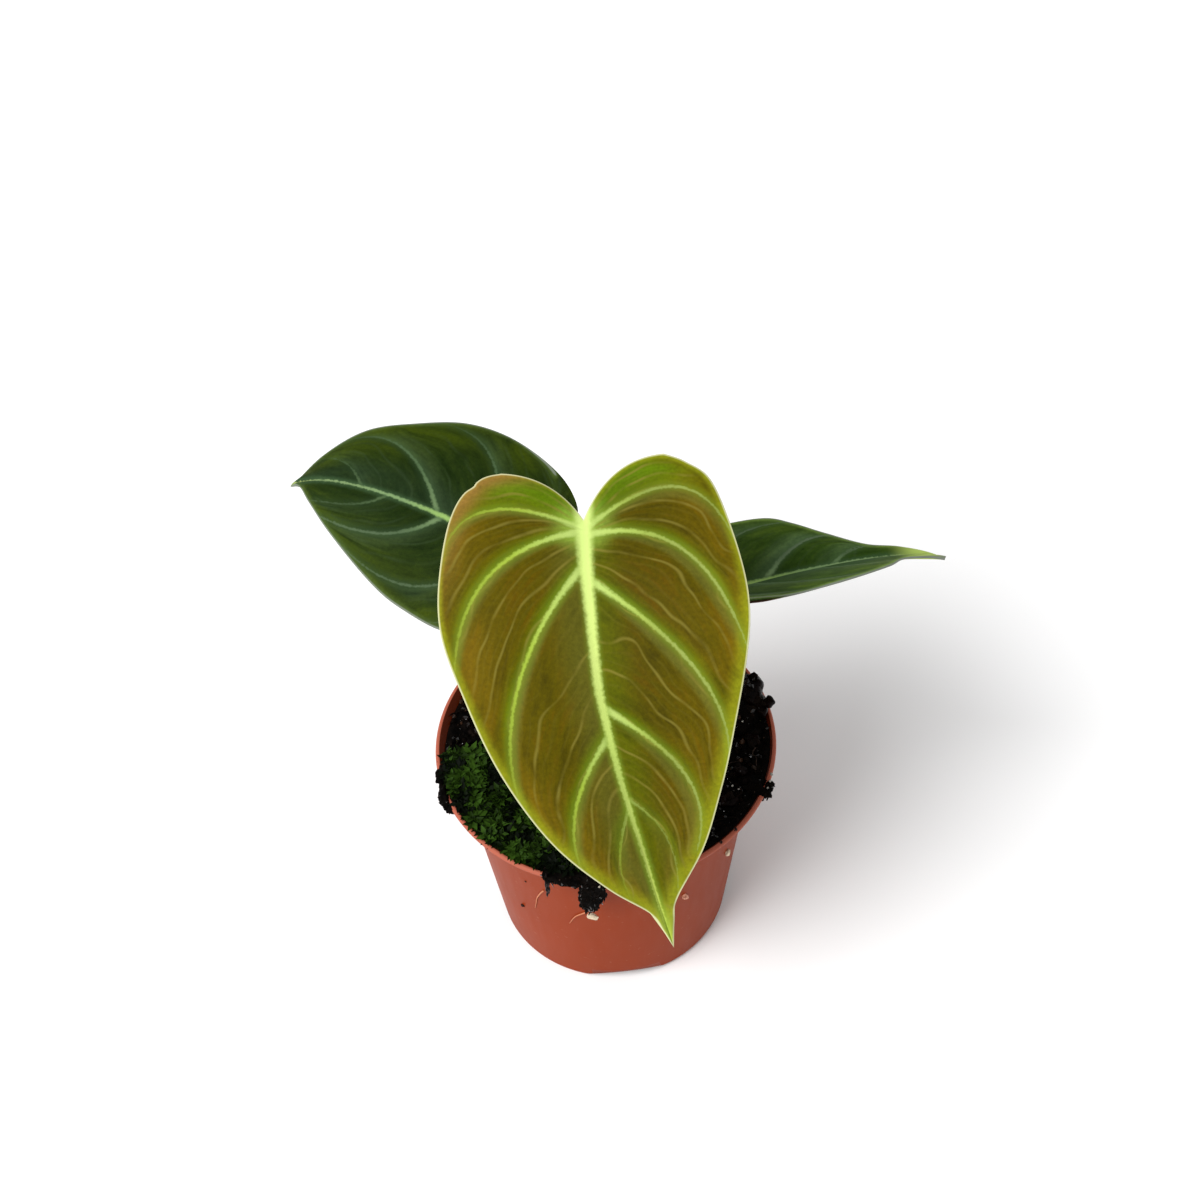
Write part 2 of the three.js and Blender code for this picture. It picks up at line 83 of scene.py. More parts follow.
# Wet clumps on the mix and over the rim: centre, half sizes, a number for their uneven shape, how rough they
# are, and the crumbs and slivers that stick out of them.
CLUMPS = [
    ((-4.6, -27.0, 44.4), (4.6, 3.2, 1.8), 3, 1, 70),
    ((-6.6, -28.4, 45), (4.2, 1.5, 1), 4, 0.8, 50),
    ((-3.9, -29.4, 41.2), (2.1, 1.2, 4.2), 5, 1, 90),
    ((-4.3, -27.9, 36.6), (1.5, 1.1, 2.6), 11, 1.2, 60),
    ((-9.9, -25.6, 44.2), (2.2, 3.1, 1.7), 7, 1, 40),
    ((-11.2, -28.1, 42.7), (0.42, 0.45, 3), 8, 0.4, 8),
    ((-25.0, -8.8, 44.2), (3.8, 4.2, 1.7), 13, 1, 60),
    ((-28.3, -9.4, 44.4), (1.2, 3.2, 1.4), 17, 0.6, 24),
    ((-28.9, -5.6, 44.9), (0.9, 2.4, 0.8), 18, 0.6, 24),
    ((25.6, -11.6, 44.2), (2.4, 2.4, 1.4), 19, 0.8, 36),
    ((27.6, -11.4, 44.5), (1, 1.7, 0.9), 23, 0.6, 20),
    ((24.6, 5.4, 44.4), (3.2, 5.2, 2.2), 29, 0.5, 30),
    ((26.4, 7.4, 46.2), (2.1, 3.1, 3.2), 31, 0.2, 0),
    ((26.8, 8.1, 48), (1.6, 1.9, 2), 37, 0.2, 0),
    ((27.6, 5.2, 45.6), (1.5, 2.8, 1.6), 41, 0.3, 0),
    ((29.2, 4.8, 47.1), (1, 1, 1), 43, 0.15, 0),
    ((23.0, -8.4, 45.2), (1.3, 1.1, 0.9), 47, 0.2, 0),
    ((20.5, -14.5, 45), (1.6, 1.2, 0.9), 53, 0.2, 0),
    ((25.8, -1.6, 45), (1.2, 1.5, 0.9), 59, 0.2, 0),
]

# What sticks to the pot: a hanging grain of pumice, two specks, root threads and splashes of mix.
SPECKS = {
    "grit_front": {"angle": -98, "z": 32.1, "size": (1.1, 0.5, 0.6), "out": 3, "tilt": 30, "slot": "grit"},
    "grit_right": {"angle": -34.2, "z": 28.4, "size": (0.45, 0.45, 0.7), "out": 0, "tilt": 12,
                   "slot": "grit"},
    "bark_right": {"angle": -59.2, "z": 25.8, "size": (0.5, 0.4, 0.9), "out": 0, "tilt": -25, "slot": "bark"},
}
ROOT_THREADS = [((-12.3, 31.4), (-12.7, 30.4), (-13.6, 27.2), (-13.9, 24.6), (-14.2, 22.3)),
                ((-4.6, 27.9), (-5.4, 26.9), (-7.0, 24.9), (-8.2, 21.5))]
PERLITE = [((28.2, 3.6, 45.8), 0.18), ((28.3, -9.9, 45.7), 0.26), ((27.9, -11.4, 45.8), 0.2),
           ((27.4, -12.6, 45.5), 0.16), ((21.4, -11.8, 45.6), 0.16), ((22.4, -12.6, 45.6), 0.15),
           ((19.8, -10.4, 45.9), 0.15), ((24.2, 1.2, 46.6), 0.14)]
SPLASHES = [(-134.5, 19.6, 0.36), (-44, 44.6, 0.4), (-51, 44.7, 0.34), (-46, 44.3, 0.25), (-128, 31.5, 0.2)]

# Rings that loose crumbs and fibres lie in, as (inner radius, width), and where thick moss hides the crumbs.
CRUMB_RING = (4.5, 24.2)
FIBRE_RING = (5, 23)
THICK_MOSS = {"from": 186, "to": 258, "inner": 12}
# Which share of the crumbs is a wet one, then bark, then pumice, added up, and the place of its material.
CRUMB_KINDS = ((0.3, 1), (0.35, 2), (0.354, 3))

# Leaf blades. Outlines are half leaves as (along the midrib, out from it), from the basal lobe to the tip.
# Rows of faces run from the midrib to the outline, as (start along the midrib as a share of its length, end
# counted in points of the outline, bow between them, rows since the line before).
ROW_KEYS = [(-0.012, 0, 0, 0), (0.006, 3.1, 0.6, 4), (0.024, 4.85, 0.42, 3), (0.115, 6.6, 0.3, 4),
            (0.44, 7.95, 0.36, 5), (0.63, 8.85, 0.3, 3), (1, 11, 0.1, 4)]
VEIN_REACH = 0.12
BLADE_GRID = {"rows": 200, "columns": 58}
MIDRIB = {"height": 1.1, "width": 1.3}
BLADE = 0.5
QUILT = 0.5
# Width in millimetres of the soft grain, of the domed cells, and of the frayed edge of a vein.
GRAIN = 0.6
CELL = 0.22
FEATHER = 0.6
# Side veins: how many to each main one, their half width in millimetres, and how strongly they show.
SIDE_VEINS = ((3, 0.2, 0.9), (9, 0.16, 0.12))

# A distance in millimetres that no tone beside a vein reaches.
FAR = 99

# What is stored on a blade for its finish: its measures, with the painted light and shade of each half, and
# its tones, which lie under or over the veins.
FIELDS = ("order", "spacing", "reach", "margin", "along", "rib_gap", "rib_width", "vein_width",
          "strength", "pale", "lift")
UNDER_TONES = ("warm", "painted_rib_sheen", "painted_sheen", "green", "lobe", "yellow", "rust", "glow")
OVER_TONES = ("tip", "point")
STORED = (*FIELDS, *UNDER_TONES, *OVER_TONES)

# What the two older leaves share, and what all their halves share.
OLDER = {
    "lobe_lift": 0.6, "lobe_rim": False, "painted_sheen_side": "base", "nicks": [], "rib_bow": [(0, 0), (1, 0)],
    "vein_widths": (0.45, 0.3, 0.22, 0.17, 0.12),
    "rib_widths": [(0, 0.7), (0.35, 0.45), (0.5, 0.3), (0.7, 0.22), (0.9, 0.15), (1, 0.12)],
}
OLDER_HALF = {"margin": [(-0.15, 1), (1, 1.2)], "band": 2, "lobe": 1}

LEAVES = {
    "front": {
        "midrib": [(-1.5, 2, 99.2), (-2.1, -25.3, 94.4), (3.5, -33.4, 66.9), (9.2, -44, 46.4)],
        "faces": [(0, -0.6, 0.8), (0, -0.8, 0.6)],
        "fold": 9, "arch": -0.1, "lobe_lift": 1, "half_width": 25,
        "tip": (0.86, 1), "lobe_rim": True, "painted_sheen_side": "tip", "vein_widths": (0.55, 0.3, 0.22, 0.17, 0.12),
        "rib_bow": [(0, 0), (0.2, 0), (0.37, -0.65), (0.45, -0.5), (0.56, -0.4), (0.75, 0), (1, 0)],
        "rib_widths": [(0, 1.4), (0.06, 1.2), (0.2, 0.85), (0.35, 0.7), (0.5, 0.52), (0.7, 0.36),
                       (0.85, 0.3), (1, 0.25)],
        "nicks": [(-6.4, -17.8, 0.5, 0.8)],
        "left": {
            "notch": (-8.6, 4.6),
            "outline": [(-8.9, 13.1), (-7.8, 16.6), (-3.4, 20.4), (5.6, 22.9), (15, 23.9), (25, 21.7),
                        (36.9, 18.5), (49.6, 13.5), (60, 7.1), (66.7, 1.9), (70.3, 0.8)],
            "veins": [[(1.1, 0), (-7.7, 18.4), (5.4, 22.9)], [(1.3, 0), (5.4, 20.7), (23.2, 22.8)],
                      [(7, 0), (28.6, 21.2), (46.5, 15.7)], [(34.2, 0), (46.5, 14), (59.8, 9.1)],
                      [(47, 0), (56.8, 6.6), (65.7, 3.4)]],
            "strengths": [0.75, 0.9, 0.9, 0.75, 0.3],
            "margin": [(-0.15, 0.8), (0.1, 1), (0.3, 1.8), (0.6, 2.4), (0.85, 3.5), (1, 5)],
            "band": 1.5, "lobe": 0.98,
        },
        "right": {
            "notch": (-11.2, 4),
            "outline": [(-11.5, 13.3), (-9.9, 16.8), (-6.3, 20.8), (3.4, 23.7), (15.5, 25.1), (26, 23.3),
                        (40, 18.2), (48.4, 14.4), (57.2, 9.6), (65.4, 3), (69.3, 1.5)],
            "veins": [[(1.1, 0), (-14, 18.6), (5.2, 23.9)], [(2.1, 0), (-0.7, 19.4), (24.9, 23.7)],
                      [(9.4, 0), (27.8, 22.5), (44.4, 16.6)], [(30.5, 0), (43.8, 15.7), (57.2, 8.5)],
                      [(45.7, 0), (52.8, 7), (64.3, 3.5)]],
            "strengths": [0.75, 0.9, 0.9, 0.75, 0.3],
            "margin": [(-0.15, 1.2), (0.1, 1.8), (0.3, 3), (0.6, 3.4), (0.85, 3.8), (1, 5)],
            # Painted shade: this half grows darker towards the rib.
            "band": 2.2, "lobe": 1.15, "painted_shade_by_rib": 0.15,
        },
        "stalk": {"radius": 1.5, "root": (0, 0.3, 50),
                  "via": [(0.3, 0.6, 56), (1.2, 3.2, 76), (0.1, 3.6, 92)]},
    },
    "left": {
        "midrib": [(-10.3, 7, 86.8), (-23.1, 16.1, 86.1), (-41.6, 25, 93.3), (-51.8, 31, 81.5)],
        "faces": [(0.1, -0.342, 0.94), (0.1, -0.342, 0.94)],
        **OLDER, "fold": -5, "arch": -0.1, "half_width": 18, "tip": (0.95, 1),
        "left": {
            "notch": (-3.4, 1.6),
            "outline": [(-5.5, 5), (-4.6, 7.4), (-1.5, 10.6), (3, 14.6), (8.4, 18), (15.6, 19.8),
                        (23.2, 19), (31, 15.2), (38, 11.4), (43.7, 5.4), (47, 1.4)],
            "veins": [[(0.3, 0), (-4, 8), (1, 13.2)], [(1.2, 0), (-1, 13), (11.5, 19)],
                      [(7.4, 0), (16.1, 22.7), (29.9, 15.8)], [(18.3, 0), (31.9, 16.4), (42.5, 7)],
                      [(33, 0), (38, 6), (44.5, 4.2)]],
            "strengths": [0.05, 0.1, 0.55, 0.65, 0.25], **OLDER_HALF,
        },
        "right": {
            "notch": (-3.8, 2),
            "outline": [(-6, 6), (-5, 9.5), (-1.5, 13.2), (3.5, 15.9), (8.7, 17.3), (15.5, 16.9),
                        (21.5, 15.7), (28.9, 12.7), (36.8, 8.4), (43, 3.9), (46.5, 0.9)],
            "veins": [[(0.3, 0), (-4.5, 9), (1, 14.6)], [(1.2, 0), (0, 13), (11, 17.2)],
                      [(5.4, 0), (12, 21.5), (36.8, 8.6)], [(17.2, 0), (24.1, 10.8), (40.5, 6.2)],
                      [(27.8, 0), (31.5, 5.2), (43.5, 3.6)]],
            "strengths": [0.4, 0.4, 0.65, 0.7, 0.3], **OLDER_HALF,
        },
        "stalk": {"radius": 1.3, "root": (-0.8, 0.4, 47.5),
                  "via": [(-5, 1.9, 53.6), (-9, 5, 68), (-10.8, 7.6, 80)]},
    },
    "right": {
        "midrib": [(12.5, 6, 74.4), (28.1, 11.5, 71.4), (47.7, 15.5, 75.2), (61.1, 20, 65.4)],
        "faces": [(-0.05, 0.342, 0.94), (-0.05, 0.342, 0.94)],
        **OLDER, "fold": 20, "arch": -0.05, "half_width": 16, "tip": (0.76, 0.9),
        # Both halves of this blade are painted brighter for the light its velvet catches, the left half most.
        "left": {
            "notch": (-4.4, 1.8),
            "outline": [(-6.5, 5.5), (-5.5, 8), (-2, 9.6), (3.4, 10.8), (10.3, 12.3), (16, 14.6),
                        (22.7, 14.2), (29.5, 12.3), (35.9, 8.6), (40.6, 3.6), (45.5, 2.2)],
            "veins": [[(0.3, 0), (-4, 7), (3.4, 10.6)], [(5, 0), (11, 12), (22, 14.3)],
                      [(14, 0), (22, 13), (33, 10.3)], [(26, 0), (33, 7), (41, 3.3)]],
            "strengths": [0.4, 0.5, 0.5, 0.4], "lift": 3, "warmth": 0.25, **OLDER_HALF,
        },
        "right": {
            "notch": (-4.4, 1.8),
            "outline": [(-6.5, 5.5), (-5.8, 9), (-2.5, 12.3), (3, 14.2), (9, 15), (16.2, 15.1),
                        (22.4, 14.2), (26.3, 11.5), (31, 7.5), (36.9, 3.6), (43.5, 2.3)],
            "veins": [[(0.3, 0), (-4, 8), (3, 14)], [(5, 0), (13, 15.5), (26.3, 11.8)],
                      [(17.1, 0), (27.7, 10.9), (34.8, 5)], [(29.3, 0), (32.5, 3), (38, 3.2)]],
            "strengths": [0.5, 0.7, 1, 0.6], "lift": 2.4, "warmth": 0.25, **OLDER_HALF,
        },
        "stalk": {"radius": 1.3, "root": (0.8, 0, 47),
                  "via": [(5, 0.8, 52.6), (10.4, 3.4, 61), (12.5, 5, 69)]},
    },
}

STEM = {"bottom": 24, "top": 51.5, "radius": 3.1, "top_radius": 2.1, "ring": 0.35, "rings": 4,
        "sides": 32}

# Camera, fitted to the rim and foot of the pot in the photograph.
CAMERA_PLACE = (0, -240.73, 364.45)
CAMERA_RIGHT = (0.99837, -0.04404, -0.03621)
CAMERA_UP = (0.05701, 0.75872, 0.64892)
CAMERA_LENS = 68.1
CAMERA_SENSOR = 36

# Where the key light comes from: over the left shoulder of the camera.
KEY_FROM = (-0.55, -0.41, 0.727)


def linear(hex_colour):
    """An sRGB hex colour as linear red, green and blue."""
    channels = [int(hex_colour[i:i + 2], 16) / 255 for i in (1, 3, 5)]
    return tuple(c / 12.92 if c <= 0.04045 else ((c + 0.055) / 1.055) ** 2.4 for c in channels)


def colour_property(name, description, hex_colour):
    return FloatVectorProperty(name=name, description=description, subtype="COLOR", size=3, min=0, max=1,
                               default=linear(hex_colour))


def length_property(name, description, millimetres):
    return FloatProperty(name=name, description=description, default=millimetres * MM, min=0,
                         unit="LENGTH", subtype="DISTANCE", precision=5)


def share_property(name, description, share):
    return FloatProperty(name=name, description=description, default=share, min=0, max=1)


def count_property(name, description, count, least=0):
    return IntProperty(name=name, description=description, default=count, min=least)


class PotSettings(bpy.types.PropertyGroup):
    wall: length_property("Wall", "Thickness of the moulded wall", WALL)
    lip: length_property("Lip", "Thickness of the rounded lip", LIP)
    segments: count_property("Segments", "Flat facets round the pot", 192, 24)
    colour: colour_property("Plastic", "Terracotta colour of the plastic", "#852e00")
    # The lip's paler pink is a painted highlight.
    lip_highlight_colour: colour_property("Lip colour", "Paler pink of the rubbed lip", "#ad614e")
    roughness: share_property("Roughness", "How matt the plastic is", 0.45)


class LeafSettings(bpy.types.PropertyGroup):
    blade: length_property("Blade", "Thickness of a blade between its veins", BLADE)
    quilt: length_property("Quilting", "Rise of the blade between two main veins", QUILT)
    roughness: share_property("Roughness", "How matt the velvet is", 0.65)
    bloom: share_property("Bloom", "Pale bloom of the velvet where it turns away", 0.006)


class StalkSettings(bpy.types.PropertyGroup):
    sides: count_property("Sides", "Facets round a leaf stalk", 20, 6)
    colour: colour_property("Stalk", "Green of the leaf stalks", "#75833a")
    stem: colour_property("Stem", "Brownish green of the rooted stem", "#5d5a2c")


class MixSettings(bpy.types.PropertyGroup):
    crumbs: count_property("Crumbs", "Loose crumbs lying on the mix", 2600)
    fibres: count_property("Fibres", "Fine fibres lying on the mix", 170)
    colour: colour_property("Wet peat", "Black of the wet mix", "#17100c")


class MossSettings(bpy.types.PropertyGroup):
    shoots: count_property("Shoots", "Leafy shoots in the moss cushion", 1500)
    colour: colour_property("Moss", "Green of the brightest leafy shoots", "#2e4812")


class GritSettings(bpy.types.PropertyGroup):
    grit: colour_property("Grit", "Cream of the pumice grit", "#e6d3b6")
    root: colour_property("Root thread", "Dry tan of the root threads", "#c9805e")
    thread: length_property("Thread", "Thickness of a root thread where it leaves the mix", 0.32)


class StageSettings(bpy.types.PropertyGroup):
    floor: FloatProperty(name="Floor", description="Width of the pale floor", default=4, min=1, unit="LENGTH")
    key: FloatProperty(name="Key light", description="Strength of the soft key light", default=3.4, min=0)
    softness: FloatProperty(name="Softness", description="Width of the key light as seen from the plant",
                            default=math.radians(38), min=0, subtype="ANGLE")
    sky: FloatProperty(name="Fill", description="Strength of the even light from all round",
                       default=0.6, min=0)


def rgba(colour):
    """The four numbers of a colour socket, from sRGB hex or from linear red, green and blue."""
    return (*(linear(colour) if isinstance(colour, str) else colour), 1)


def add(tree, kind, *values, out=None, stops=(), **named):
    """Adds a node and gives its first output, or the one named. Values fill its inputs in their order. A word
    with a capital names an input, any other word a setting, and stops are the colours of a ramp."""
    made = tree.nodes.new("ShaderNode" + kind)
    fed = []
    for word, value in named.items():
        if word.islower():
            setattr(made, word, value)
        else:
            fed.append((made.inputs[word.replace("_", " ")], value))
    for index, (place, colour) in enumerate(stops):
        stop = made.color_ramp.elements[index] if index < 2 else made.color_ramp.elements.new(place)
        stop.position = place
        stop.color = rgba(colour)
    for socket, value in [*zip([socket for socket in made.inputs if socket.enabled], values), *fed]:
        if isinstance(value, bpy.types.NodeSocket):
            tree.links.new(value, socket)
        else:
            socket.default_value = rgba(value) if socket.type == "RGBA" else value
    return made.outputs[out] if out else next((socket for socket in made.outputs if socket.enabled), None)


def surface(name):
    """A new material, what adds nodes to its empty tree, and the Object coordinates its patterns follow."""
    material = bpy.data.materials.new(name)
    material.use_nodes = True
    material.node_tree.nodes.clear()
    node = partial(add, material.node_tree)
    return material, node, node("TexCoord", out="Object")


def mesh_from(bm, name):
    """Turns a bmesh into a mesh and frees it."""
    mesh = bpy.data.meshes.new(name)
    bm.to_mesh(mesh)
    bm.free()
    return mesh


def object_from(name, data):
    """Puts a mesh, a lamp or a camera in the scene."""
    made = bpy.data.objects.new(name, data)
    bpy.context.scene.collection.objects.link(made)
    return made


def finish_piece(bm, name, materials, nodes=(), smooth=True):
    """Turns a bmesh in millimetres into a piece that rides with the plant."""
    bmesh.ops.scale(bm, vec=(MM, MM, MM), verts=bm.verts)
    for face in bm.faces:
        face.smooth = smooth
    piece = object_from(name, mesh_from(bm, name))
    for material in materials:
        piece.data.materials.append(material)
    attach(piece, "root")
    if nodes:
        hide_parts(*nodes)


def unit(vectors):
    return vectors / np.linalg.norm(vectors, axis=-1, keepdims=True)


def smooth_step(value, low, high):
    share = np.clip((np.asarray(value, float) - low) / (high - low), 0, 1)
    return share * share * (3 - 2 * share)


def patches(x, y, z):
    """Soft random patches, each value between about -0.5 and 0.5."""
    return np.array([noise.noise(Vector((a, b, z))) for a, b in zip(x, y)])


def unevenness(x, y, z):
    """Smooth unevenness between about -1 and 1, from three crossing waves."""
    return (math.sin(x * 1.3 + y * 0.7 + z) + math.sin(y * 1.9 - x * 0.8 + 2.1)
            + math.sin(x * 2.3 + z * 1.7 + 0.6) * math.cos(y * 2.1 - z)) / 3


def pot_radius(z):
    flare = (z - (POT_TOP - BAND_HEIGHT)) / BAND_HEIGHT
    if flare > 0:
        return NECK_RADIUS + FLARE["reach"] * flare ** FLARE["power"]
    share = (z - FOOT_FILLET) / (POT_TOP - BAND_HEIGHT - FOOT_FILLET)
    return FOOT_RADIUS + (NECK_RADIUS - FOOT_RADIUS) * share


def pot_wall(wall=WALL, lip=LIP):
    """The wall's outer line, its inner line and the curve of its lip, as rows of (radius, height)."""
    neck = POT_TOP - BAND_HEIGHT
    painted_shade_by_height = [*np.linspace(FOOT_FILLET + 2, neck - 0.6, 14),
               *(neck + BAND_HEIGHT * share for share in np.linspace(0, FLARE["end"], 14))]
    outer = np.array([(pot_radius(z), z) for z in painted_shade_by_height])
    along = unit(np.gradient(outer, axis=0))
    outward = np.stack([along[:, 1], -along[:, 0]], -1)
    thick = wall + (lip - wall) * smooth_step(outer[:, 1], POT_TOP - 2.5, POT_TOP - 1)
    inner = outer - outward * thick[:, None]
    centre = (outer[-1] + inner[-1]) / 2
    turns = np.linspace(0, math.pi, 13)[1:-1, None]
    rounded = centre + thick[-1] / 2 * (np.cos(turns) * outward[-1] + np.sin(turns) * along[-1])
    top = rounded[:, 1].max() - POT_TOP
    for line in (outer, inner, rounded):
        line[:, 1] -= top * smooth_step(line[:, 1], neck - 3, neck + 3)
    return outer, inner, rounded


WALL_LINES = pot_wall()


def inner_radius(z):
    radii, painted_shade_by_height = WALL_LINES[1].T
    return float(np.interp(z, painted_shade_by_height, radii))


def spun(profile, segments):
    """A closed bmesh from a profile of (radius, height) that starts and ends on the axis."""
    bm = bmesh.new()
    points = [bm.verts.new((r, 0, z)) for r, z in profile]
    edges = [bm.edges.new(pair) for pair in zip(points, points[1:])]
    bmesh.ops.spin(bm, geom=points + edges, cent=(0, 0, 0), axis=(0, 0, 1), angle=2 * math.pi,
                   steps=segments, use_merge=True)
    bmesh.ops.remove_doubles(bm, verts=bm.verts, dist=0.001)
    bmesh.ops.recalc_face_normals(bm, faces=bm.faces)
    return bm


def cut(bm, cutters):
    """A bmesh of what is left of the first one where the cutters take their shapes out of it."""
    whole, tool = (object_from("cutting", mesh_from(shape, "cutting")) for shape in (bm, cutters))
    modifier = whole.modifiers.new("cut", "BOOLEAN")
    modifier.operation = "DIFFERENCE"
    modifier.solver = "EXACT"
    modifier.object = tool
    result = bpy.data.meshes.new_from_object(whole.evaluated_get(bpy.context.evaluated_depsgraph_get()))
    left = bmesh.new()
    left.from_mesh(result)
    # An object goes with its mesh.
    for mesh in (whole.data, tool.data, result):
        bpy.data.meshes.remove(mesh)
    return left


def pot_profile(wall, lip):
    """The pot's section, from the middle of its underside over the lip to the middle of its floor."""
    foot = [(0, 0), (8, 0), (15, 0)]
    for i in range(9):
        turn = math.radians(90 * i / 8)
        foot.append((FOOT_RADIUS - FOOT_FILLET + FOOT_FILLET * math.sin(turn),
                     FOOT_FILLET - FOOT_FILLET * math.cos(turn)))
    outer, inner, rounded = (line.tolist() for line in pot_wall(wall, lip))
    floor = [(pot_radius(FLOOR_THICKNESS) - wall - 0.8, FLOOR_THICKNESS), (10, FLOOR_THICKNESS),
             (0, FLOOR_THICKNESS)]
    return foot + outer + rounded + inner[::-1] + floor


def pot_cutters():
    """Drain holes in the floor, and low arches in the foot's edge that let water out."""
    bm = bmesh.new()
    for k in range(DRAIN_HOLES["count"]):
        angle = math.radians(DRAIN_HOLES["first"] + 360 * k / DRAIN_HOLES["count"])
        place = Vector((math.cos(angle), math.sin(angle), 0)) * DRAIN_HOLES["circle"]
        bmesh.ops.create_cone(bm, cap_ends=True, segments=32, radius1=DRAIN_HOLES["radius"],
                              radius2=DRAIN_HOLES["radius"], depth=6, matrix=Matrix.Translation(place))
    half, rise = FOOT_NOTCHES["width"] / 2, FOOT_NOTCHES["height"]
    radius = (half ** 2 + rise ** 2) / (2 * rise)
    for k in range(FOOT_NOTCHES["count"]):
        angle = FOOT_NOTCHES["turn"] - 90 + 360 * k / FOOT_NOTCHES["count"]
        turn = Matrix.Rotation(math.radians(angle), 4, "Z")
        lie = Matrix.Translation((0, FOOT_RADIUS - 0.6, rise - radius)) @ Matrix.Rotation(math.pi / 2, 4, "X")
        bmesh.ops.create_cone(bm, cap_ends=True, segments=180, radius1=radius, radius2=radius,
                              depth=FOOT_NOTCHES["length"], matrix=turn @ lie)
    return bm


def pot_plastic(name, colour, highlight_tone, roughness):
    # Injection-moulded polypropylene: satin, uneven in tone and faintly dusty, with a painted highlight that
    # makes its lip paler.
    material, node, place = surface(name)
    flow = node("TexNoise", place, 1 / (16 * MM), 3)
    tone = node("Mix", flow, [c * 0.88 for c in colour], [c * 1.14 for c in colour], data_type="RGBA")
    dust = node("MapRange", node("TexNoise", place, 1 / (0.9 * MM), 3), 0.66, 0.74, 0, 0.15)
    tone = node("Mix", dust, tone, "#b98a72", data_type="RGBA")
    height = node("SeparateXYZ", place, out="Z")
    # Painted highlight: the lip's top millimetre is mixed towards a paler pink.
    painted_lip_highlight = node("MapRange", height, (POT_TOP - 1) * MM, (POT_TOP - 0.4) * MM, 0, 0.8)
    tone = node("Mix", painted_lip_highlight, tone, highlight_tone, data_type="RGBA")
    streaks = node("TexNoise", node("Mapping", place, Scale=(1, 1, 0.15)), 1 / (1.8 * MM), 2)
    gloss = node("MapRange", streaks, 0, 1, roughness - 0.06, roughness + 0.06)
    peel = node("TexNoise", place, 1 / (0.5 * MM))
    bump = node("Bump", Height=peel, Strength=0.05, Distance=0.05 * MM)
    node("OutputMaterial", node("BsdfPrincipled", Base_Color=tone, Roughness=gloss, Normal=bump,
                                Specular_IOR_Level=0.08))
    return material


class PLANT_OT_pot(bpy.types.Operator):
    """Spin the thin nursery pot, with its drain holes and foot arches"""
    bl_idname = "plant.pot"
    bl_label = "Pot"

    def execute(self, context):
        settings = context.scene.plant_pot
        profile = pot_profile(settings.wall / MM, settings.lip / MM)
        bm = cut(spun(profile, settings.segments), pot_cutters())
        for face in bm.faces:
            middle = face.calc_center_median()
            if middle.z > FLOOR_THICKNESS + 0.1 and middle.xy.length < inner_radius(middle.z) + 0.1:
                face.material_index = 1
        outside = pot_plastic("moulded terracotta polypropylene", settings.colour, settings.lip_highlight_colour,
                              settings.roughness)
        # The inner wall is a quarter as bright: painted shade inside the pot, and partly stains of the wet
        # mix.
        shaded_and_stained = [c * 0.25 for c in settings.colour]
        inside = pot_plastic("polypropylene with painted shade and stains of wet mix", shaded_and_stained, shaded_and_stained, settings.roughness - 0.1)
        finish_piece(bm, "nursery_pot", [outside, inside], ["pot"])
        return {"FINISHED"}


def bezier(points, t):
    """Points on a Bezier curve of any degree, by repeated interpolation."""
    rows = [np.asarray(p, float) + np.zeros((*np.shape(t), len(p))) for p in points]
    step = np.asarray(t)[..., None]
    while len(rows) > 1:
        rows = [a + (b - a) * step for a, b in zip(rows, rows[1:])]
    return rows[0]


def spline(points, place):
    """Points on a uniform Catmull-Rom spline, at places counted in points."""
    points = np.asarray(points, float)
    last = len(points) - 1
    first = np.minimum(np.floor(place).astype(int), last - 1)
    w = (place - first)[..., None]
    p0, p1 = points[np.maximum(first - 1, 0)], points[first]
    p2, p3 = points[first + 1], points[np.minimum(first + 2, last)]
    v0, v1 = (p2 - p0) / 2, (p3 - p1) / 2
    return (2 * p1 - 2 * p2 + v0 + v1) * w ** 3 + (3 * p2 - 3 * p1 - 2 * v0 - v1) * w ** 2 + v0 * w + p1


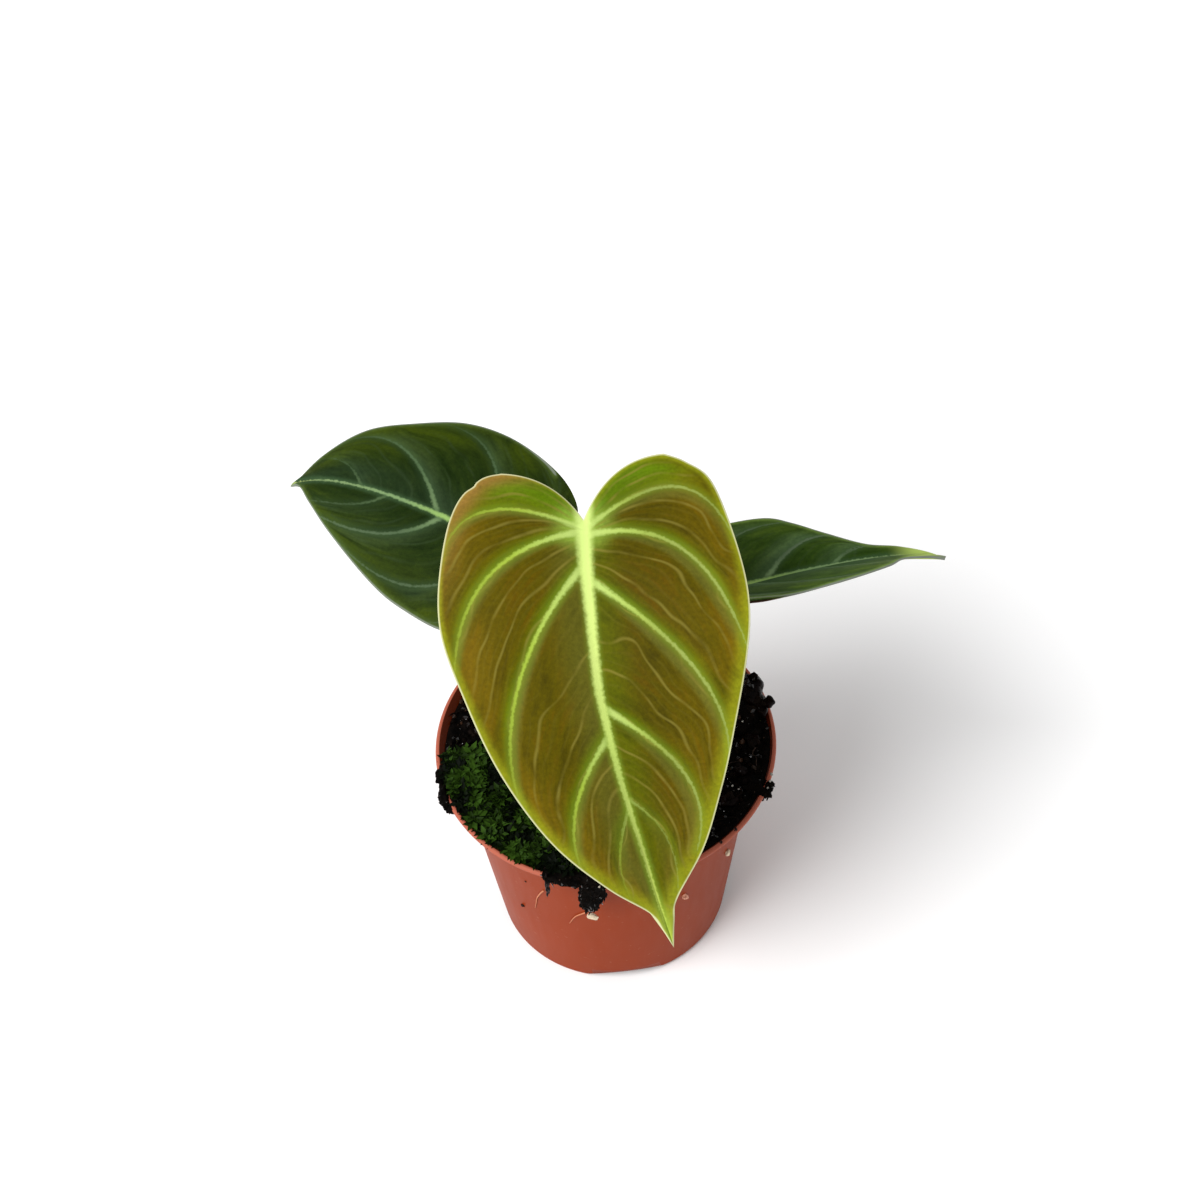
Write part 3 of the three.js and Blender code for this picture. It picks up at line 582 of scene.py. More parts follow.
class Blade:
    """A leaf's surface: along its curved midrib u, and out from it v, which is negative on its left half."""

    def __init__(self, leaf):
        self.leaf = leaf
        self.steps = np.linspace(0, 1, 201)
        points = bezier(leaf["midrib"], self.steps)
        runs = np.linalg.norm(np.diff(points, axis=0), axis=1)
        self.lengths = np.concatenate([[0], np.cumsum(runs)])
        self.length = self.lengths[-1]

    def at(self, u, v, lift):
        leaf = self.leaf
        u, v = np.asarray(u, float), np.asarray(v, float)
        share = np.clip(u / self.length, 0, 1)
        t = np.interp(share * self.length, self.lengths, self.steps)
        sides = [np.subtract(b, a) for a, b in zip(leaf["midrib"], leaf["midrib"][1:])]
        tangent = unit(bezier(sides, t))
        centre = bezier(leaf["midrib"], t) + tangent * (u - share * self.length)[..., None]
        first, last = (unit(np.array(f, float)) for f in leaf["faces"])
        normal = first + (last - first) * share[..., None]
        normal = unit(normal - tangent * (normal * tangent).sum(-1, keepdims=True))
        across = np.cross(normal, tangent)
        fold = math.radians(leaf["fold"])
        out = np.abs(v)
        height = (out * math.sin(fold) + leaf["arch"] * (out / leaf["half_width"]) ** 2 * leaf["half_width"]
                  + leaf["lobe_lift"] * np.maximum(0, -u / 12) ** 2 + lift)
        return centre + across * (v * math.cos(fold))[..., None] + normal * height[..., None]

    def rows(self, half, place, reach):
        """Places (along, out) on a half blade: place from base to tip, reach from rib to margin."""
        *keys, rows = zip(*ROW_KEYS)
        counts = np.cumsum(rows)
        row = np.asarray(place) * counts[-1]
        outline = [*half["outline"], (self.length, 0)]

        def parts(start, end, bow):
            a = np.stack([start * self.length, 0 * start], -1)
            b = spline(outline, end)
            chord = b - a
            across = np.stack([-chord[..., 1], chord[..., 0]], -1)
            return a, (a + b) / 2 + chord * VEIN_REACH + across * bow[..., None], b

        a, bend, b = parts(*(np.interp(row, counts, key) for key in keys))
        first_bend = parts(*(np.array([float(key[1])]) for key in keys))[1]
        share = np.clip(row / counts[1], 0, 1)[..., None]
        notch = np.asarray(half["notch"], float)
        bend = np.where(share < 1, notch + (first_bend - notch) * share, bend)
        t = np.asarray(reach)[..., None]
        return a * (1 - t) ** 2 + 2 * bend * t * (1 - t) + b * t ** 2

    def notch(self, half):
        """The edge of a half blade from its rib to its lobe, where the stalk joins it."""
        return self.rows(half, np.zeros(24), np.linspace(0, 1, 24))

    def margin(self, half):
        """The edge of a half blade, from the notch round the lobe to the tip."""
        outline = [*half["outline"], (self.length, 0)]
        return np.concatenate([self.notch(half), spline(outline, np.linspace(0, len(outline) - 1, 160))])


def distance_to(line, points):
    """Distance of each point from a line of points, and its side: positive towards the leaf's tip."""
    a, b = line[:-1], line[1:]
    along = b - a
    size = np.maximum((along ** 2).sum(-1), 1e-9)
    rel = points[:, None, :] - a[None]
    t = np.clip((rel * along[None]).sum(-1) / size, 0, 1)
    off = rel - along[None] * t[..., None]
    gaps = np.linalg.norm(off, axis=-1)
    nearest = gaps.argmin(1)
    pick = np.arange(len(points))
    chosen, way = off[pick, nearest], along[nearest]
    side = -(way[:, 0] * chosen[:, 1] - way[:, 1] * chosen[:, 0])
    return gaps[pick, nearest], np.where(side < 0, -1.0, 1.0)


def vein_order(blade, half, points):
    """Counts the main veins from base to tip, with parts between two, and gives their spacing."""
    found = [distance_to(bezier(vein, np.linspace(0, 1, 33)), points) for vein in half["veins"]]
    notch = distance_to(blade.notch(half), points)[0]
    tip = np.linalg.norm(points - np.array([blade.length, 0]), axis=1)
    gaps = [notch, *(gap for gap, side in found), tip]
    sides = [np.ones(len(points)), *(side for gap, side in found), -np.ones(len(points))]
    order, spacing = np.full(len(points), -1.0), np.ones(len(points))
    for i in range(len(gaps) - 1):
        inside = (sides[i] > 0) & (sides[i + 1] < 0)
        both = np.maximum(gaps[i] + gaps[i + 1], 1e-6)
        order = np.where(inside, i - 1 + gaps[i] / both, order)
        spacing = np.where(inside, both, spacing)
    return order, spacing


def leaf_tones(leaf, half, u, out, along, reach, order, spacing, margin):
    """How strongly each tone of a half blade shows, from 0 to 1, and how wide its veins are."""
    left_half = half is leaf["left"]
    near = np.round(order)
    gap = (order - near) * spacing
    tip_side, base_side = np.where(gap > 0, gap, FAR), np.where(gap < 0, -gap, FAR)
    strength = np.interp(near, range(-1, len(half["strengths"]) + 1), [0, *half["strengths"], 0])
    strength = strength * (1 - 0.35 * smooth_step(reach, 0.55, 1))
    blotch = patches(order * 1.4, reach * 2.6, 3.7 * left_half)
    fine = patches(order * 5, reach * 5, 9.1 + 2 * left_half)
    warmth = half.get("warmth", 1) * np.clip(0.6 + 0.9 * blotch + 0.5 * fine, 0, 1)
    grainy = np.clip(0.9 + 0.4 * fine, 0, 1)
    corner = smooth_step(along, 0.2, -0.04) * smooth_step(reach, 0.3, 1)
    band = half["band"] * np.sin(np.pi * reach ** 0.8) ** 0.7
    lush = smooth_step(base_side, 2.8, 0.1) + 0.6 * smooth_step(tip_side, 1.6, 0) * smooth_step(reach, 0.5, 0)
    tones = {
        "warm": warmth * smooth_step(reach, 0.25, 0.8),
        # Painted sheen: a grey-olive zone beside the midrib on the left half.
        "painted_rib_sheen": left_half * smooth_step(out, 8, 1.5) * smooth_step(reach, 0.75, 0.2) * grainy,
        # Painted sheen: a pale band beside each main vein, on its tip side, where the quilted velvet turns
        # from the light.
        "painted_sheen": strength * smooth_step(tip_side, band + 0.5, band - 0.5) * smooth_step(reach, 1, 0.8),
        "green": strength ** 0.5 * np.clip(lush * (0.85 + 0.6 * fine) * (1 - 0.4 * reach), 0, 1),
        "lobe": smooth_step(order, 0.05, -0.55) * smooth_step(reach, half["lobe"], 0.5),
        "yellow": smooth_step(margin, np.interp(along, *zip(*half["margin"])), 0.2),
        "rust": left_half * smooth_step(margin, 5, 0.5) * corner,
        "glow": smooth_step(np.hypot(u - 0.5, out), 6.5, 0.5),
        "tip": smooth_step(along, *leaf["tip"]),
        "point": smooth_step(along, 0.982, 0.995),
    }
    # On old blades the painted sheen lies on the base side of each vein, and a narrow dark band of painted
    # shade on its tip side.
    if leaf["painted_sheen_side"] == "base":
        tones["painted_sheen"] = strength * smooth_step(base_side, 4.2, 0.1) * smooth_step(reach, 1.05, 0.6)
        tones["green"] = strength * smooth_step(tip_side, 1.4, 0.1) * 0.5
    if not left_half:
        beside_rib = 0.45 * smooth_step(out, 7, 1) * smooth_step(reach, 0.6, 0.1)
        tones["green"] = np.maximum(tones["green"], beside_rib)
    widths = np.interp(reach, (0, 0.12, 0.35, 0.8, 1), leaf["vein_widths"])
    bow = np.interp(along, *zip(*leaf["rib_bow"]))
    return {
        **tones,
        "strength": strength,
        "pale": (not left_half) * smooth_step(reach, 0.05, 0.4),
        # Painted light and shade: a brightness for each half, lower towards the rib on the right half of the
        # front blade.
        "lift": half.get("lift", 1) - half.get("painted_shade_by_rib", 0) * smooth_step(reach, 0.65, 0.15),
        "vein_width": widths * np.maximum(strength, 0.2) ** 0.5,
        "rib_gap": np.abs(np.where(left_half, -out, out) - bow),
        "rib_width": np.interp(along, *zip(*leaf["rib_widths"])),
    }


def blade_bmesh(leaf, thickness, quilting):
    """A blade with its upper side, underside and rim, and what its finish follows in attributes."""
    blade = Blade(leaf)
    bm = bmesh.new()
    bmesh.ops.create_grid(bm, x_segments=2 * BLADE_GRID["columns"], y_segments=BLADE_GRID["rows"], size=1)
    bm.verts.ensure_lookup_table()
    grid = np.array([v.co[:2] for v in bm.verts])
    reach = np.abs(grid[:, 0])
    place = (grid[:, 1] + 1) / 2
    left = grid[:, 0] < 0
    flat = np.zeros((len(grid), 2))
    values = {name: np.zeros(len(grid)) for name in STORED}
    for chosen, half in ((left, leaf["left"]), (~left, leaf["right"])):
        flat[chosen] = blade.rows(half, place[chosen], reach[chosen])
        order, spacing = vein_order(blade, half, flat[chosen])
        margin = distance_to(blade.margin(half), flat[chosen])[0]
        u, out = flat[chosen].T
        along = u / blade.length
        if not leaf["lobe_rim"]:
            margin = margin + 6 * smooth_step(along, 0.12, 0)
        found = dict(along=along, reach=reach[chosen], order=order, spacing=spacing, margin=margin)
        found.update(leaf_tones(leaf, half, u, out, **found))
        for name, value in found.items():
            values[name][chosen] = value
    u, v = flat[:, 0], np.where(left, -flat[:, 1], flat[:, 1])
    for nick_u, nick_v, depth, width in leaf["nicks"]:
        near = np.exp(-((u - nick_u) ** 2 + (v - nick_v) ** 2) / width ** 2)
        v = v - np.sign(v) * depth * near
    between = values["order"] - np.floor(values["order"])
    quilt = quilting * np.sin(np.pi * between) ** 0.8 * np.sin(np.pi * reach ** 0.8)
    rib = MIDRIB["height"] * np.exp(-((v / MIDRIB["width"]) ** 2)) * np.clip(1 - u / blade.length, 0, 1)
    thin = thickness * (0.6 + 0.4 * smooth_step(values["margin"], 0, 1.5))
    top = blade.at(u, v, quilt)
    under = blade.at(u, v, quilt - thin - rib)
    layers = {name: bm.verts.layers.float.new(name) for name in values}
    for i, vert in enumerate(bm.verts):
        vert.co = top[i]
        for name, layer in layers.items():
            vert[layer] = values[name][i]
    upper = list(bm.verts)
    copied = bmesh.ops.duplicate(bm, geom=bm.verts[:] + bm.edges[:] + bm.faces[:])
    for vert in upper:
        copied["vert_map"][vert].co = under[vert.index]
    lower = [f for f in copied["geom"] if isinstance(f, bmesh.types.BMFace)]
    for face in lower:
        face.material_index = 1
    bmesh.ops.reverse_faces(bm, faces=lower)
    edges = [e for e in bm.edges if e.is_boundary]
    rim = bmesh.ops.bridge_loops(bm, edges=edges)["faces"]
    for face in rim:
        face.material_index = 2
    bmesh.ops.remove_doubles(bm, verts=bm.verts, dist=0.002)
    return bm


# How a blade is coloured: its ground and streaks, then each tone laid over them as (colour, most cover).
YOUNG = {
    "blade": "#4f4600", "streak": "#5b4500", "dark": "#3b3400",
    "tones": {
        # The grey-olive beside the rib and the grey-green beside the veins are painted sheen.
        "warm": ("#6d5706", 0.75), "painted_rib_sheen": ("#57591d", 0.7), "painted_sheen": ("#646928", 0.6),
        "green": ("#597600", 0.7), "lobe": ("#537603", 0.8), "yellow": ("#868d17", 0.75),
        "rust": ("#8e6c32", 0.85), "glow": ("#97bb48", 0.8), "tip": ("#9fb143", 0.9),
        "point": ("#97765e", 0.9),
    },
    "rib": [(0.0, "#c5dc7d"), (0.3, "#bed074"), (0.5, "#a9be5e"), (0.75, "#919f4c"), (1.0, "#adbf51")],
    "vein": [(0.0, "#b3c972"), (0.3, "#9bb33f"), (0.75, "#82942e"), (1.0, "#89922e")],
    "pale_vein": "#8d9b4e", "side_vein": "#7e7430", "halo": "#708926", "rim": "#c9c99e",
    "side_strength": 0.6,
}
MATURE = {
    "blade": "#1a2a06", "streak": "#28370c", "dark": "#0c1c00",
    "tones": {
        # The pale sage beside the veins is painted sheen, and the near-black green on their other side
        # painted shade.
        "warm": ("#374500", 0.8), "painted_rib_sheen": ("#1d2e20", 0.45), "painted_sheen": ("#3f5136", 0.5),
        "green": ("#091b00", 0.8), "lobe": ("#344809", 0.6), "yellow": ("#4c5e2a", 0.6),
        "rust": ("#37460d", 0), "glow": ("#7a9750", 0.7), "tip": ("#a6bb5e", 1.0), "point": ("#adad90", 0.8),
    },
    "rib": [(0.0, "#9bbb65"), (0.35, "#88a95e"), (0.5, "#728d5e"), (0.85, "#6e8257"), (1.0, "#a6b36d")],
    "vein": [(0.0, "#7a9465"), (0.3, "#556d4a"), (0.75, "#45593b"), (1.0, "#36482c")],
    "pale_vein": "#54664a", "side_vein": "#394a30", "halo": "#375031", "rim": "#7a8274",
    "side_strength": 0.2,
}
# Undersides are wine red where the leaf is young and duller where it is old, with green veins.
YOUNG_UNDER = {
    **YOUNG, "blade": "#6e3a2a", "streak": "#7a4630", "dark": "#5c2c22", "side_vein": "#8a6a44",
    "tones": {**YOUNG["tones"], "warm": ("#7c4a30", 0.6), "painted_rib_sheen": ("#6a4a2c", 0.6), "painted_sheen": ("#7c5a3c", 0.5),
              "green": ("#74542c", 0.6), "lobe": ("#6f5a2a", 0.6), "rust": ("#84503a", 0.6)},
}
MATURE_UNDER = {
    **MATURE, "blade": "#4a3230", "streak": "#553c34", "dark": "#3c2828", "side_vein": "#5c5244",
    "tones": {**MATURE["tones"], "warm": ("#54443a", 0.6), "painted_rib_sheen": ("#4a3c34", 0.6), "painted_sheen": ("#5a5044", 0.6),
              "green": ("#443a2c", 0.6), "lobe": ("#4f4430", 0.6)},
}


def velvet_leaf(name, look, roughness, sheen):
    # Aroid blade of tiny domed cells: soft, matt and deep in tone, with a pale bloom where it turns away,
    # partly painted into its tones.
    material, node, place = surface(name)
    read = {word: node("Attribute", attribute_name=word, out="Fac") for word in STORED}

    # Streaks that run along the veins, and a fine grain.
    run = node("CombineXYZ", read["order"], read["reach"], read["rib_gap"])
    run = node("VectorMath", run, (7, 5, 0.02), operation="MULTIPLY")
    streaks = node("TexNoise", run, 1, 4, 0.65)
    light = node("MapRange", streaks, 0.5, 0.72, 0, 0.8)
    dark = node("MapRange", streaks, 0.48, 0.3, 0, 0.8)
    ragged = node("MapRange", streaks, 0.3, 0.65, 0.7, 1.12)
    tone = node("Mix", light, look["blade"], look["streak"], data_type="RGBA")
    tone = node("Mix", dark, tone, look["dark"], data_type="RGBA")
    # Among these tones are painted sheen beside the rib and veins, and on old blades painted shade beside the
    # veins.
    for word in UNDER_TONES:
        shade, cover = look["tones"][word]
        mask = node("Math", read[word], cover, operation="MULTIPLY")
        mask = node("Math", mask, ragged, operation="MULTIPLY", use_clamp=True)
        tone = node("Mix", mask, tone, shade, data_type="RGBA")
    grain = node("MapRange", node("TexNoise", place, 1 / (GRAIN * MM), 2), 0.3, 0.7)
    level = node("MapRange", grain, 0, 1, 0.88, 1.12)
    # Painted light and shade: the tone is scaled by the brightness stored for its half.
    level = node("Math", level, read["lift"], operation="MULTIPLY")
    tone = node("VectorMath", tone, level, operation="SCALE")

    def from_nearest(counted):
        """How many millimetres a point is from the nearest line, where lines run at whole counts."""
        nearest = node("Math", counted, operation="ROUND")
        gap = node("Math", counted, nearest, operation="SUBTRACT")
        gap = node("Math", gap, operation="ABSOLUTE")
        return node("Math", gap, read["spacing"], operation="MULTIPLY")

    # Two soft side veins between each pair of main veins, and faint ones between those. They wander a little.
    wander = node("MapRange", node("TexNoise", place, 1 / (9 * MM), 1), 0.3, 0.7, -0.09, 0.09)
    counted = node("Math", read["order"], wander, operation="ADD")
    fade = node("MapRange", read["reach"], 0.92, 0.6, interpolation_type="SMOOTHSTEP")
    patchy = node("MapRange", node("TexNoise", place, 1 / (4 * MM), 1), 0.35, 0.6, 0.25)
    fade = node("Math", fade, patchy, operation="MULTIPLY")
    for count, width, strength in SIDE_VEINS:
        gap = from_nearest(node("Math", counted, count, operation="MULTIPLY"))
        line = node("MapRange", gap, 2 * width * count, 0, 0, strength * look["side_strength"],
                    interpolation_type="SMOOTHSTEP")
        line = node("Math", line, fade, operation="MULTIPLY")
        tone = node("Mix", line, tone, look["side_vein"], data_type="RGBA")

    # Main veins and midrib: each a line with a frayed edge, in a soft halo.
    feather = node("TexNoise", place, 1 / (FEATHER * MM), 4)
    feather = node("MapRange", feather, 0.3, 0.7, -0.13, 0.13)
    drawn = ((from_nearest(read["order"]), read["vein_width"], 2.2, 1.3, 0.5, read["strength"], read["reach"],
              look["vein"], read["pale"]),
             (read["rib_gap"], read["rib_width"], 1.5, 1, 0.75, 1, read["along"], look["rib"], 0))
    for gap, width, spread, halo, glow, strength, run, stops, pale in drawn:
        gap = node("Math", gap, feather, operation="ADD")
        outer = node("Math", width, halo, operation="ADD")
        soft = node("MapRange", gap, outer, 0, 0, glow, interpolation_type="SMOOTHSTEP")
        soft = node("Math", soft, strength, operation="MULTIPLY")
        tone = node("Mix", soft, tone, look["halo"], data_type="RGBA")
        edge = node("Math", width, spread, operation="MULTIPLY")
        core = node("Math", width, 0.3, operation="MULTIPLY")
        line = node("MapRange", gap, edge, core, interpolation_type="SMOOTHSTEP")
        line = node("Math", line, strength, operation="MULTIPLY")
        colours = node("ValToRGB", run, stops=stops)
        colours = node("Mix", pale, colours, look["pale_vein"], data_type="RGBA")
        tone = node("Mix", line, tone, colours, data_type="RGBA")
    for word in OVER_TONES:
        shade, cover = look["tones"][word]
        mask = node("Math", read[word], cover, operation="MULTIPLY")
        tone = node("Mix", mask, tone, shade, data_type="RGBA")

    # The last third of a millimetre is a pale rim.
    rim = node("MapRange", read["margin"], 0.36, 0.08, 0, 0.85, interpolation_type="SMOOTHSTEP")
    tone = node("Mix", rim, tone, look["rim"], data_type="RGBA")
    cells = node("TexVoronoi", place, 1 / (CELL * MM))
    bump = node("Bump", Height=cells, Strength=0.2, Distance=0.04 * MM)
    node("OutputMaterial", node("BsdfPrincipled", Base_Color=tone, Normal=bump, Roughness=roughness,
                                Specular_IOR_Level=0.05, Sheen_Weight=sheen, Sheen_Roughness=0.35,
                                Sheen_Tint="#c8d0a0"))
    return material


def leaf_edge(name, shade):
    # Edge of a blade, bare of velvet: thin, pale and a little uneven, so it reads as a light line.
    material, node, place = surface(name)
    uneven = node("TexNoise", place, 1 / (3 * MM), 2)
    tone = node("Mix", uneven, [c * 0.7 for c in shade], [c * 1.1 for c in shade], data_type="RGBA")
    node("OutputMaterial", node("BsdfPrincipled", Base_Color=tone, Roughness=0.55, Specular_IOR_Level=0.2))
    return material


class PLANT_OT_leaves(bpy.types.Operator):
    """Grow the three velvety blades over the fitted leaf solids"""
    bl_idname = "plant.leaves"
    bl_label = "Leaves"

    def execute(self, context):
        settings = context.scene.plant_leaves
        made = {}
        for age, look, under in (("young", YOUNG, YOUNG_UNDER), ("mature", MATURE, MATURE_UNDER)):
            made[age] = [velvet_leaf(f"velvety {age} leaf", look, settings.roughness, settings.bloom),
                         velvet_leaf(f"{age} leaf underside", under, settings.roughness, 0.0),
                         leaf_edge(f"{age} leaf margin", linear(look["rim"]))]
        for name, leaf in LEAVES.items():
            age, slot = ("young", "new_leaf") if name == "front" else ("mature", "old_leaf")
            bm = blade_bmesh(leaf, settings.blade / MM, settings.quilt / MM)
            finish_piece(bm, f"blade_{name}", made[age], [f"leaf_{name}"])
        return {"FINISHED"}


def smooth_route(points, steps):
    """Places evenly spread on a centripetal Catmull-Rom curve through the points."""
    points = [Vector(p) for p in points]
    ends = [points[0] * 2 - points[1], *points, points[-1] * 2 - points[-2]]
    dense = []
    for p0, p1, p2, p3 in zip(ends, ends[1:], ends[2:], ends[3:]):
        t0 = 0
        t1 = t0 + max((p1 - p0).length, 1e-6) ** 0.5
        t2 = t1 + (p2 - p1).length ** 0.5
        t3 = t2 + max((p3 - p2).length, 1e-6) ** 0.5
        for t in (t1 + (t2 - t1) * i / 24 for i in range(24)):
            line = [p0, p1, p2, p3]
            for starts, stops in (((t0, t1, t2), (t1, t2, t3)), ((t0, t1), (t2, t3)), ((t1,), (t2,))):
                line = [a * ((stop - t) / (stop - start)) + b * ((t - start) / (stop - start))
                        for a, b, start, stop in zip(line, line[1:], starts, stops)]
            dense.append(line[0])
    dense.append(points[-1])
    lengths = np.concatenate([[0], np.cumsum([(b - a).length for a, b in zip(dense, dense[1:])])])
    even = np.linspace(0, lengths[-1], steps + 1)
    coordinates = np.array(dense)
    return [Vector([np.interp(s, lengths, coordinates[:, k]) for k in range(3)]) for s in even]


def sweep(bm, centres, radius_at, sides):
    """Runs a ring along the centres, extruding it from place to place, and closes both ends."""
    ways = [(b - a).normalized() for a, b in zip(centres, centres[1:])]
    ways = [ways[0], *((a + b).normalized() for a, b in zip(ways, ways[1:])), ways[-1]]
    frames = [ways[0].to_track_quat("Z", "Y")]
    for a, b in zip(ways, ways[1:]):
        frames.append(a.rotation_difference(b) @ frames[-1])
    ring = bmesh.ops.create_circle(bm, segments=sides, radius=1, cap_ends=True)["verts"]
    round_places = [v.co.copy() for v in ring]
    edges = list(dict.fromkeys(e for v in ring for e in v.link_edges if e.is_boundary))
    count = len(centres) - 1
    for step, (centre, frame_here) in enumerate(zip(centres, frames)):
        if step:
            made = bmesh.ops.extrude_edge_only(bm, edges=edges)["geom"]
            grown = [g for g in made if isinstance(g, bmesh.types.BMVert)]
            order = {}
            for old in ring:
                for edge in old.link_edges:
                    other = edge.other_vert(old)
                    if other in grown:
                        order[old] = other
            ring = [order[old] for old in ring]
            edges = [g for g in made if isinstance(g, bmesh.types.BMEdge)]
        for vert, place in zip(ring, round_places):
            vert.co = centre + frame_here @ (place * radius_at(step / count))
    bmesh.ops.contextual_create(bm, geom=edges)
    bmesh.ops.recalc_face_normals(bm, faces=bm.faces)


def stalk_bmesh(leaf, sides):
    blade = Blade(leaf)
    stalk = leaf["stalk"]
    route = [stalk["root"], *stalk["via"], blade.at(0.4, 0, -BLADE - 1.6), blade.at(0.6, 0, -BLADE / 2)]
    bm = bmesh.new()
    # Swollen at the root, and a little where it meets the blade.
    sweep(bm, smooth_route(route, 60),
          lambda t: stalk["radius"] * (1.35 - 0.5 * min(1, t * 2.5) + 0.15 * max(0, t * 8 - 7)), sides)
    return bm


def stem_bmesh():
    """The short rooted stem, which narrows upwards and has the ring scars of old leaves."""
    def radius_at(t):
        taper = STEM["radius"] + (STEM["top_radius"] - STEM["radius"]) * t ** 2
        return taper + STEM["ring"] * max(0, math.cos(2 * math.pi * STEM["rings"] * t)) ** 6
    bm = bmesh.new()
    middle = (0.1, 0.1, (STEM["bottom"] + STEM["top"]) / 2)
    route = smooth_route([(0, 0, STEM["bottom"]), middle, (0, 0, STEM["top"])], 96)
    sweep(bm, route, radius_at, STEM["sides"])
    return bm


def juicy_stalk(name, colour, rough):
    # Living stalk: smooth and waxy, with fine lengthwise streaks and paler freckles.
    material, node, place = surface(name)
    streaks = node("TexNoise", node("Mapping", place, Scale=(1, 1, 0.12)), 1 / (0.5 * MM), 3)
    tone = node("Mix", streaks, [c * 0.6 for c in colour], [c * 1.4 for c in colour], data_type="RGBA")
    freckles = node("MapRange", node("TexVoronoi", place, 1 / (1.1 * MM)), 0.22, 0.1, 0, 0.5)
    tone = node("Mix", freckles, tone, "#a9ae72", data_type="RGBA")
    bump = node("Bump", Height=streaks, Strength=0.2, Distance=0.1 * MM)
    node("OutputMaterial", node("BsdfPrincipled", Base_Color=tone, Normal=bump, Roughness=rough,
                                Specular_IOR_Level=0.3))
    return material


class PLANT_OT_stalks(bpy.types.Operator):
    """Grow the stem and the three leaf stalks"""
    bl_idname = "plant.stalks"
    bl_label = "Stem and stalks"

    def execute(self, context):
        settings = context.scene.plant_stalks
        green = juicy_stalk("smooth juicy stalk", settings.colour, 0.38)
        for name, leaf in LEAVES.items():
            finish_piece(stalk_bmesh(leaf, settings.sides), f"stalk_{name}", [green],
                         [f"petiole_{name}"])
        woody = juicy_stalk("stem with ring scars", settings.stem, 0.5)
        finish_piece(stem_bmesh(), "rooted_stem", [woody], ["stem"])
        return {"FINISHED"}


def clump(bm, centre, size, seed, rough):
    """An uneven wet lump of mix."""
    made = bmesh.ops.create_icosphere(bm, subdivisions=4, radius=1)["verts"]
    for vert in made:
        p = vert.co.copy()
        way = p.normalized()
        p *= 1 + 0.3 * unevenness(p.x * 2.2 + seed, p.y * 2.2, p.z * 2.2 + seed)
        p = Vector(p[k] * size[k] + centre[k] for k in range(3))
        crumb = noise.noise(p * 1.1) * 0.5 + noise.noise(p * 2.6) * 0.3
        vert.co = p + way * (crumb - 0.1) * rough
    return made


def mix_bmesh():
    """The body of potting mix: its sides follow the pot, its top is a lumpy mound, with clumps on it."""
    neck, top, spread = POT_TOP - BAND_HEIGHT, MIX["top"], MIX["spread"]
    bottom = FLOOR_THICKNESS + 0.3
    profile = [(0, bottom), (pot_radius(bottom) - WALL - 1.4, bottom)]
    profile += [(inner_radius(z) - 0.3, z) for z in (bottom + 2, 12, 24, 36, neck)]
    profile += [(spread, neck + (top - neck) * share) for share in (0.25, 0.5, 0.75, 1)]
    profile += [(r, top) for r in np.linspace(spread, STEM_HOLE, 90)[1:]]
    profile += [(STEM_HOLE, STEM["bottom"] - 0.3), (0, STEM["bottom"] - 0.3)]
    bm = spun(profile, MIX["segments"])
    for vert in bm.verts:
        x, y, z = vert.co
        radius = math.hypot(x, y)
        if z < neck + 0.01 or radius < 0.01:
            continue
        way = Vector((x, y, 0)) / radius
        edge = float(np.interp(math.degrees(math.atan2(y, x)) % 360, *zip(*MIX_EDGE)))
        if z < top - 0.01:
            height = neck + (edge - neck) * (z - neck) / (top - neck)
            vert.co = way * (inner_radius(height) - MIX["gap"]) + Vector((0, 0, height))
            continue
        share = (radius - STEM_HOLE) / (spread - STEM_HOLE)
        p = way * (STEM_HOLE + share * (inner_radius(edge) - MIX["gap"] - STEM_HOLE))
        lumps = MIX["lump"] * unevenness(p.x / MIX["lump_size"], p.y / MIX["lump_size"], 1)
        fine = noise.noise(p * 0.8) * 0.9 + noise.noise(p * 2.1) * 0.6 + noise.noise(p * 4.5) * 0.3
        mound = MIX["top"] + MIX["crown"] * (1 - (p.length / NECK_RADIUS) ** 2) + lumps
        rise = float(smooth_step(share, 0.72, 1))
        p.z = mound + (edge - mound) * rise + fine * (1 - float(smooth_step(share, 0.93, 1)))
        vert.co = p
    for centre, size, seed, rough, crumbs in CLUMPS:
        lump = clump(bm, centre, size, seed, rough)
        if rough < 0.5:
            for face in {f for vert in lump for f in vert.link_faces}:
                face.material_index = 1
    return bm


def scatter(bm, template, place, shades, index=0):
    """Adds a copy of a small mesh at a place, with the brightness of each of its points and its material."""
    verts, faces = len(bm.verts), len(bm.faces)
    bm.from_mesh(template)
    bm.verts.ensure_lookup_table()
    bm.faces.ensure_lookup_table()
    fresh = bm.verts[verts:]
    bmesh.ops.transform(bm, matrix=place, verts=fresh)
    layer = bm.verts.layers.float["shade"]
    for vert, shade in zip(fresh, shades):
        vert[layer] = shade
    for face in bm.faces[faces:]:
        face.material_index = index


def crumb_mesh(seed):
    """An angular crumb about one unit across."""
    rng = random.Random(seed)
    bm = bmesh.new()
    bmesh.ops.create_icosphere(bm, subdivisions=1, radius=0.5)
    for vert in bm.verts:
        vert.co *= 0.65 + 0.6 * rng.random()
    return mesh_from(bm, f"crumb_{seed}")


def fibre_mesh(seed):
    """A bent fibre about one unit long, lying along X."""
    rng = random.Random(seed)
    route = [(t - 0.5, 0.2 * (rng.random() - 0.5), 0.12 * rng.random()) for t in np.linspace(0, 1, 5)]
    bm = bmesh.new()
    sweep(bm, smooth_route(route, 6), lambda t: 0.035 * (1 - 0.6 * t), 4)
    return mesh_from(bm, f"fibre_{seed}")


def lie_on(ground, radius, angle):
    """The point of the mix below a place, or None."""
    above = Vector((radius * math.cos(angle), radius * math.sin(angle), 60))
    return ground.ray_cast(above, Vector((0, 0, -1)))[0]


def turned(*angles):
    return Euler(angles).to_matrix().to_4x4()


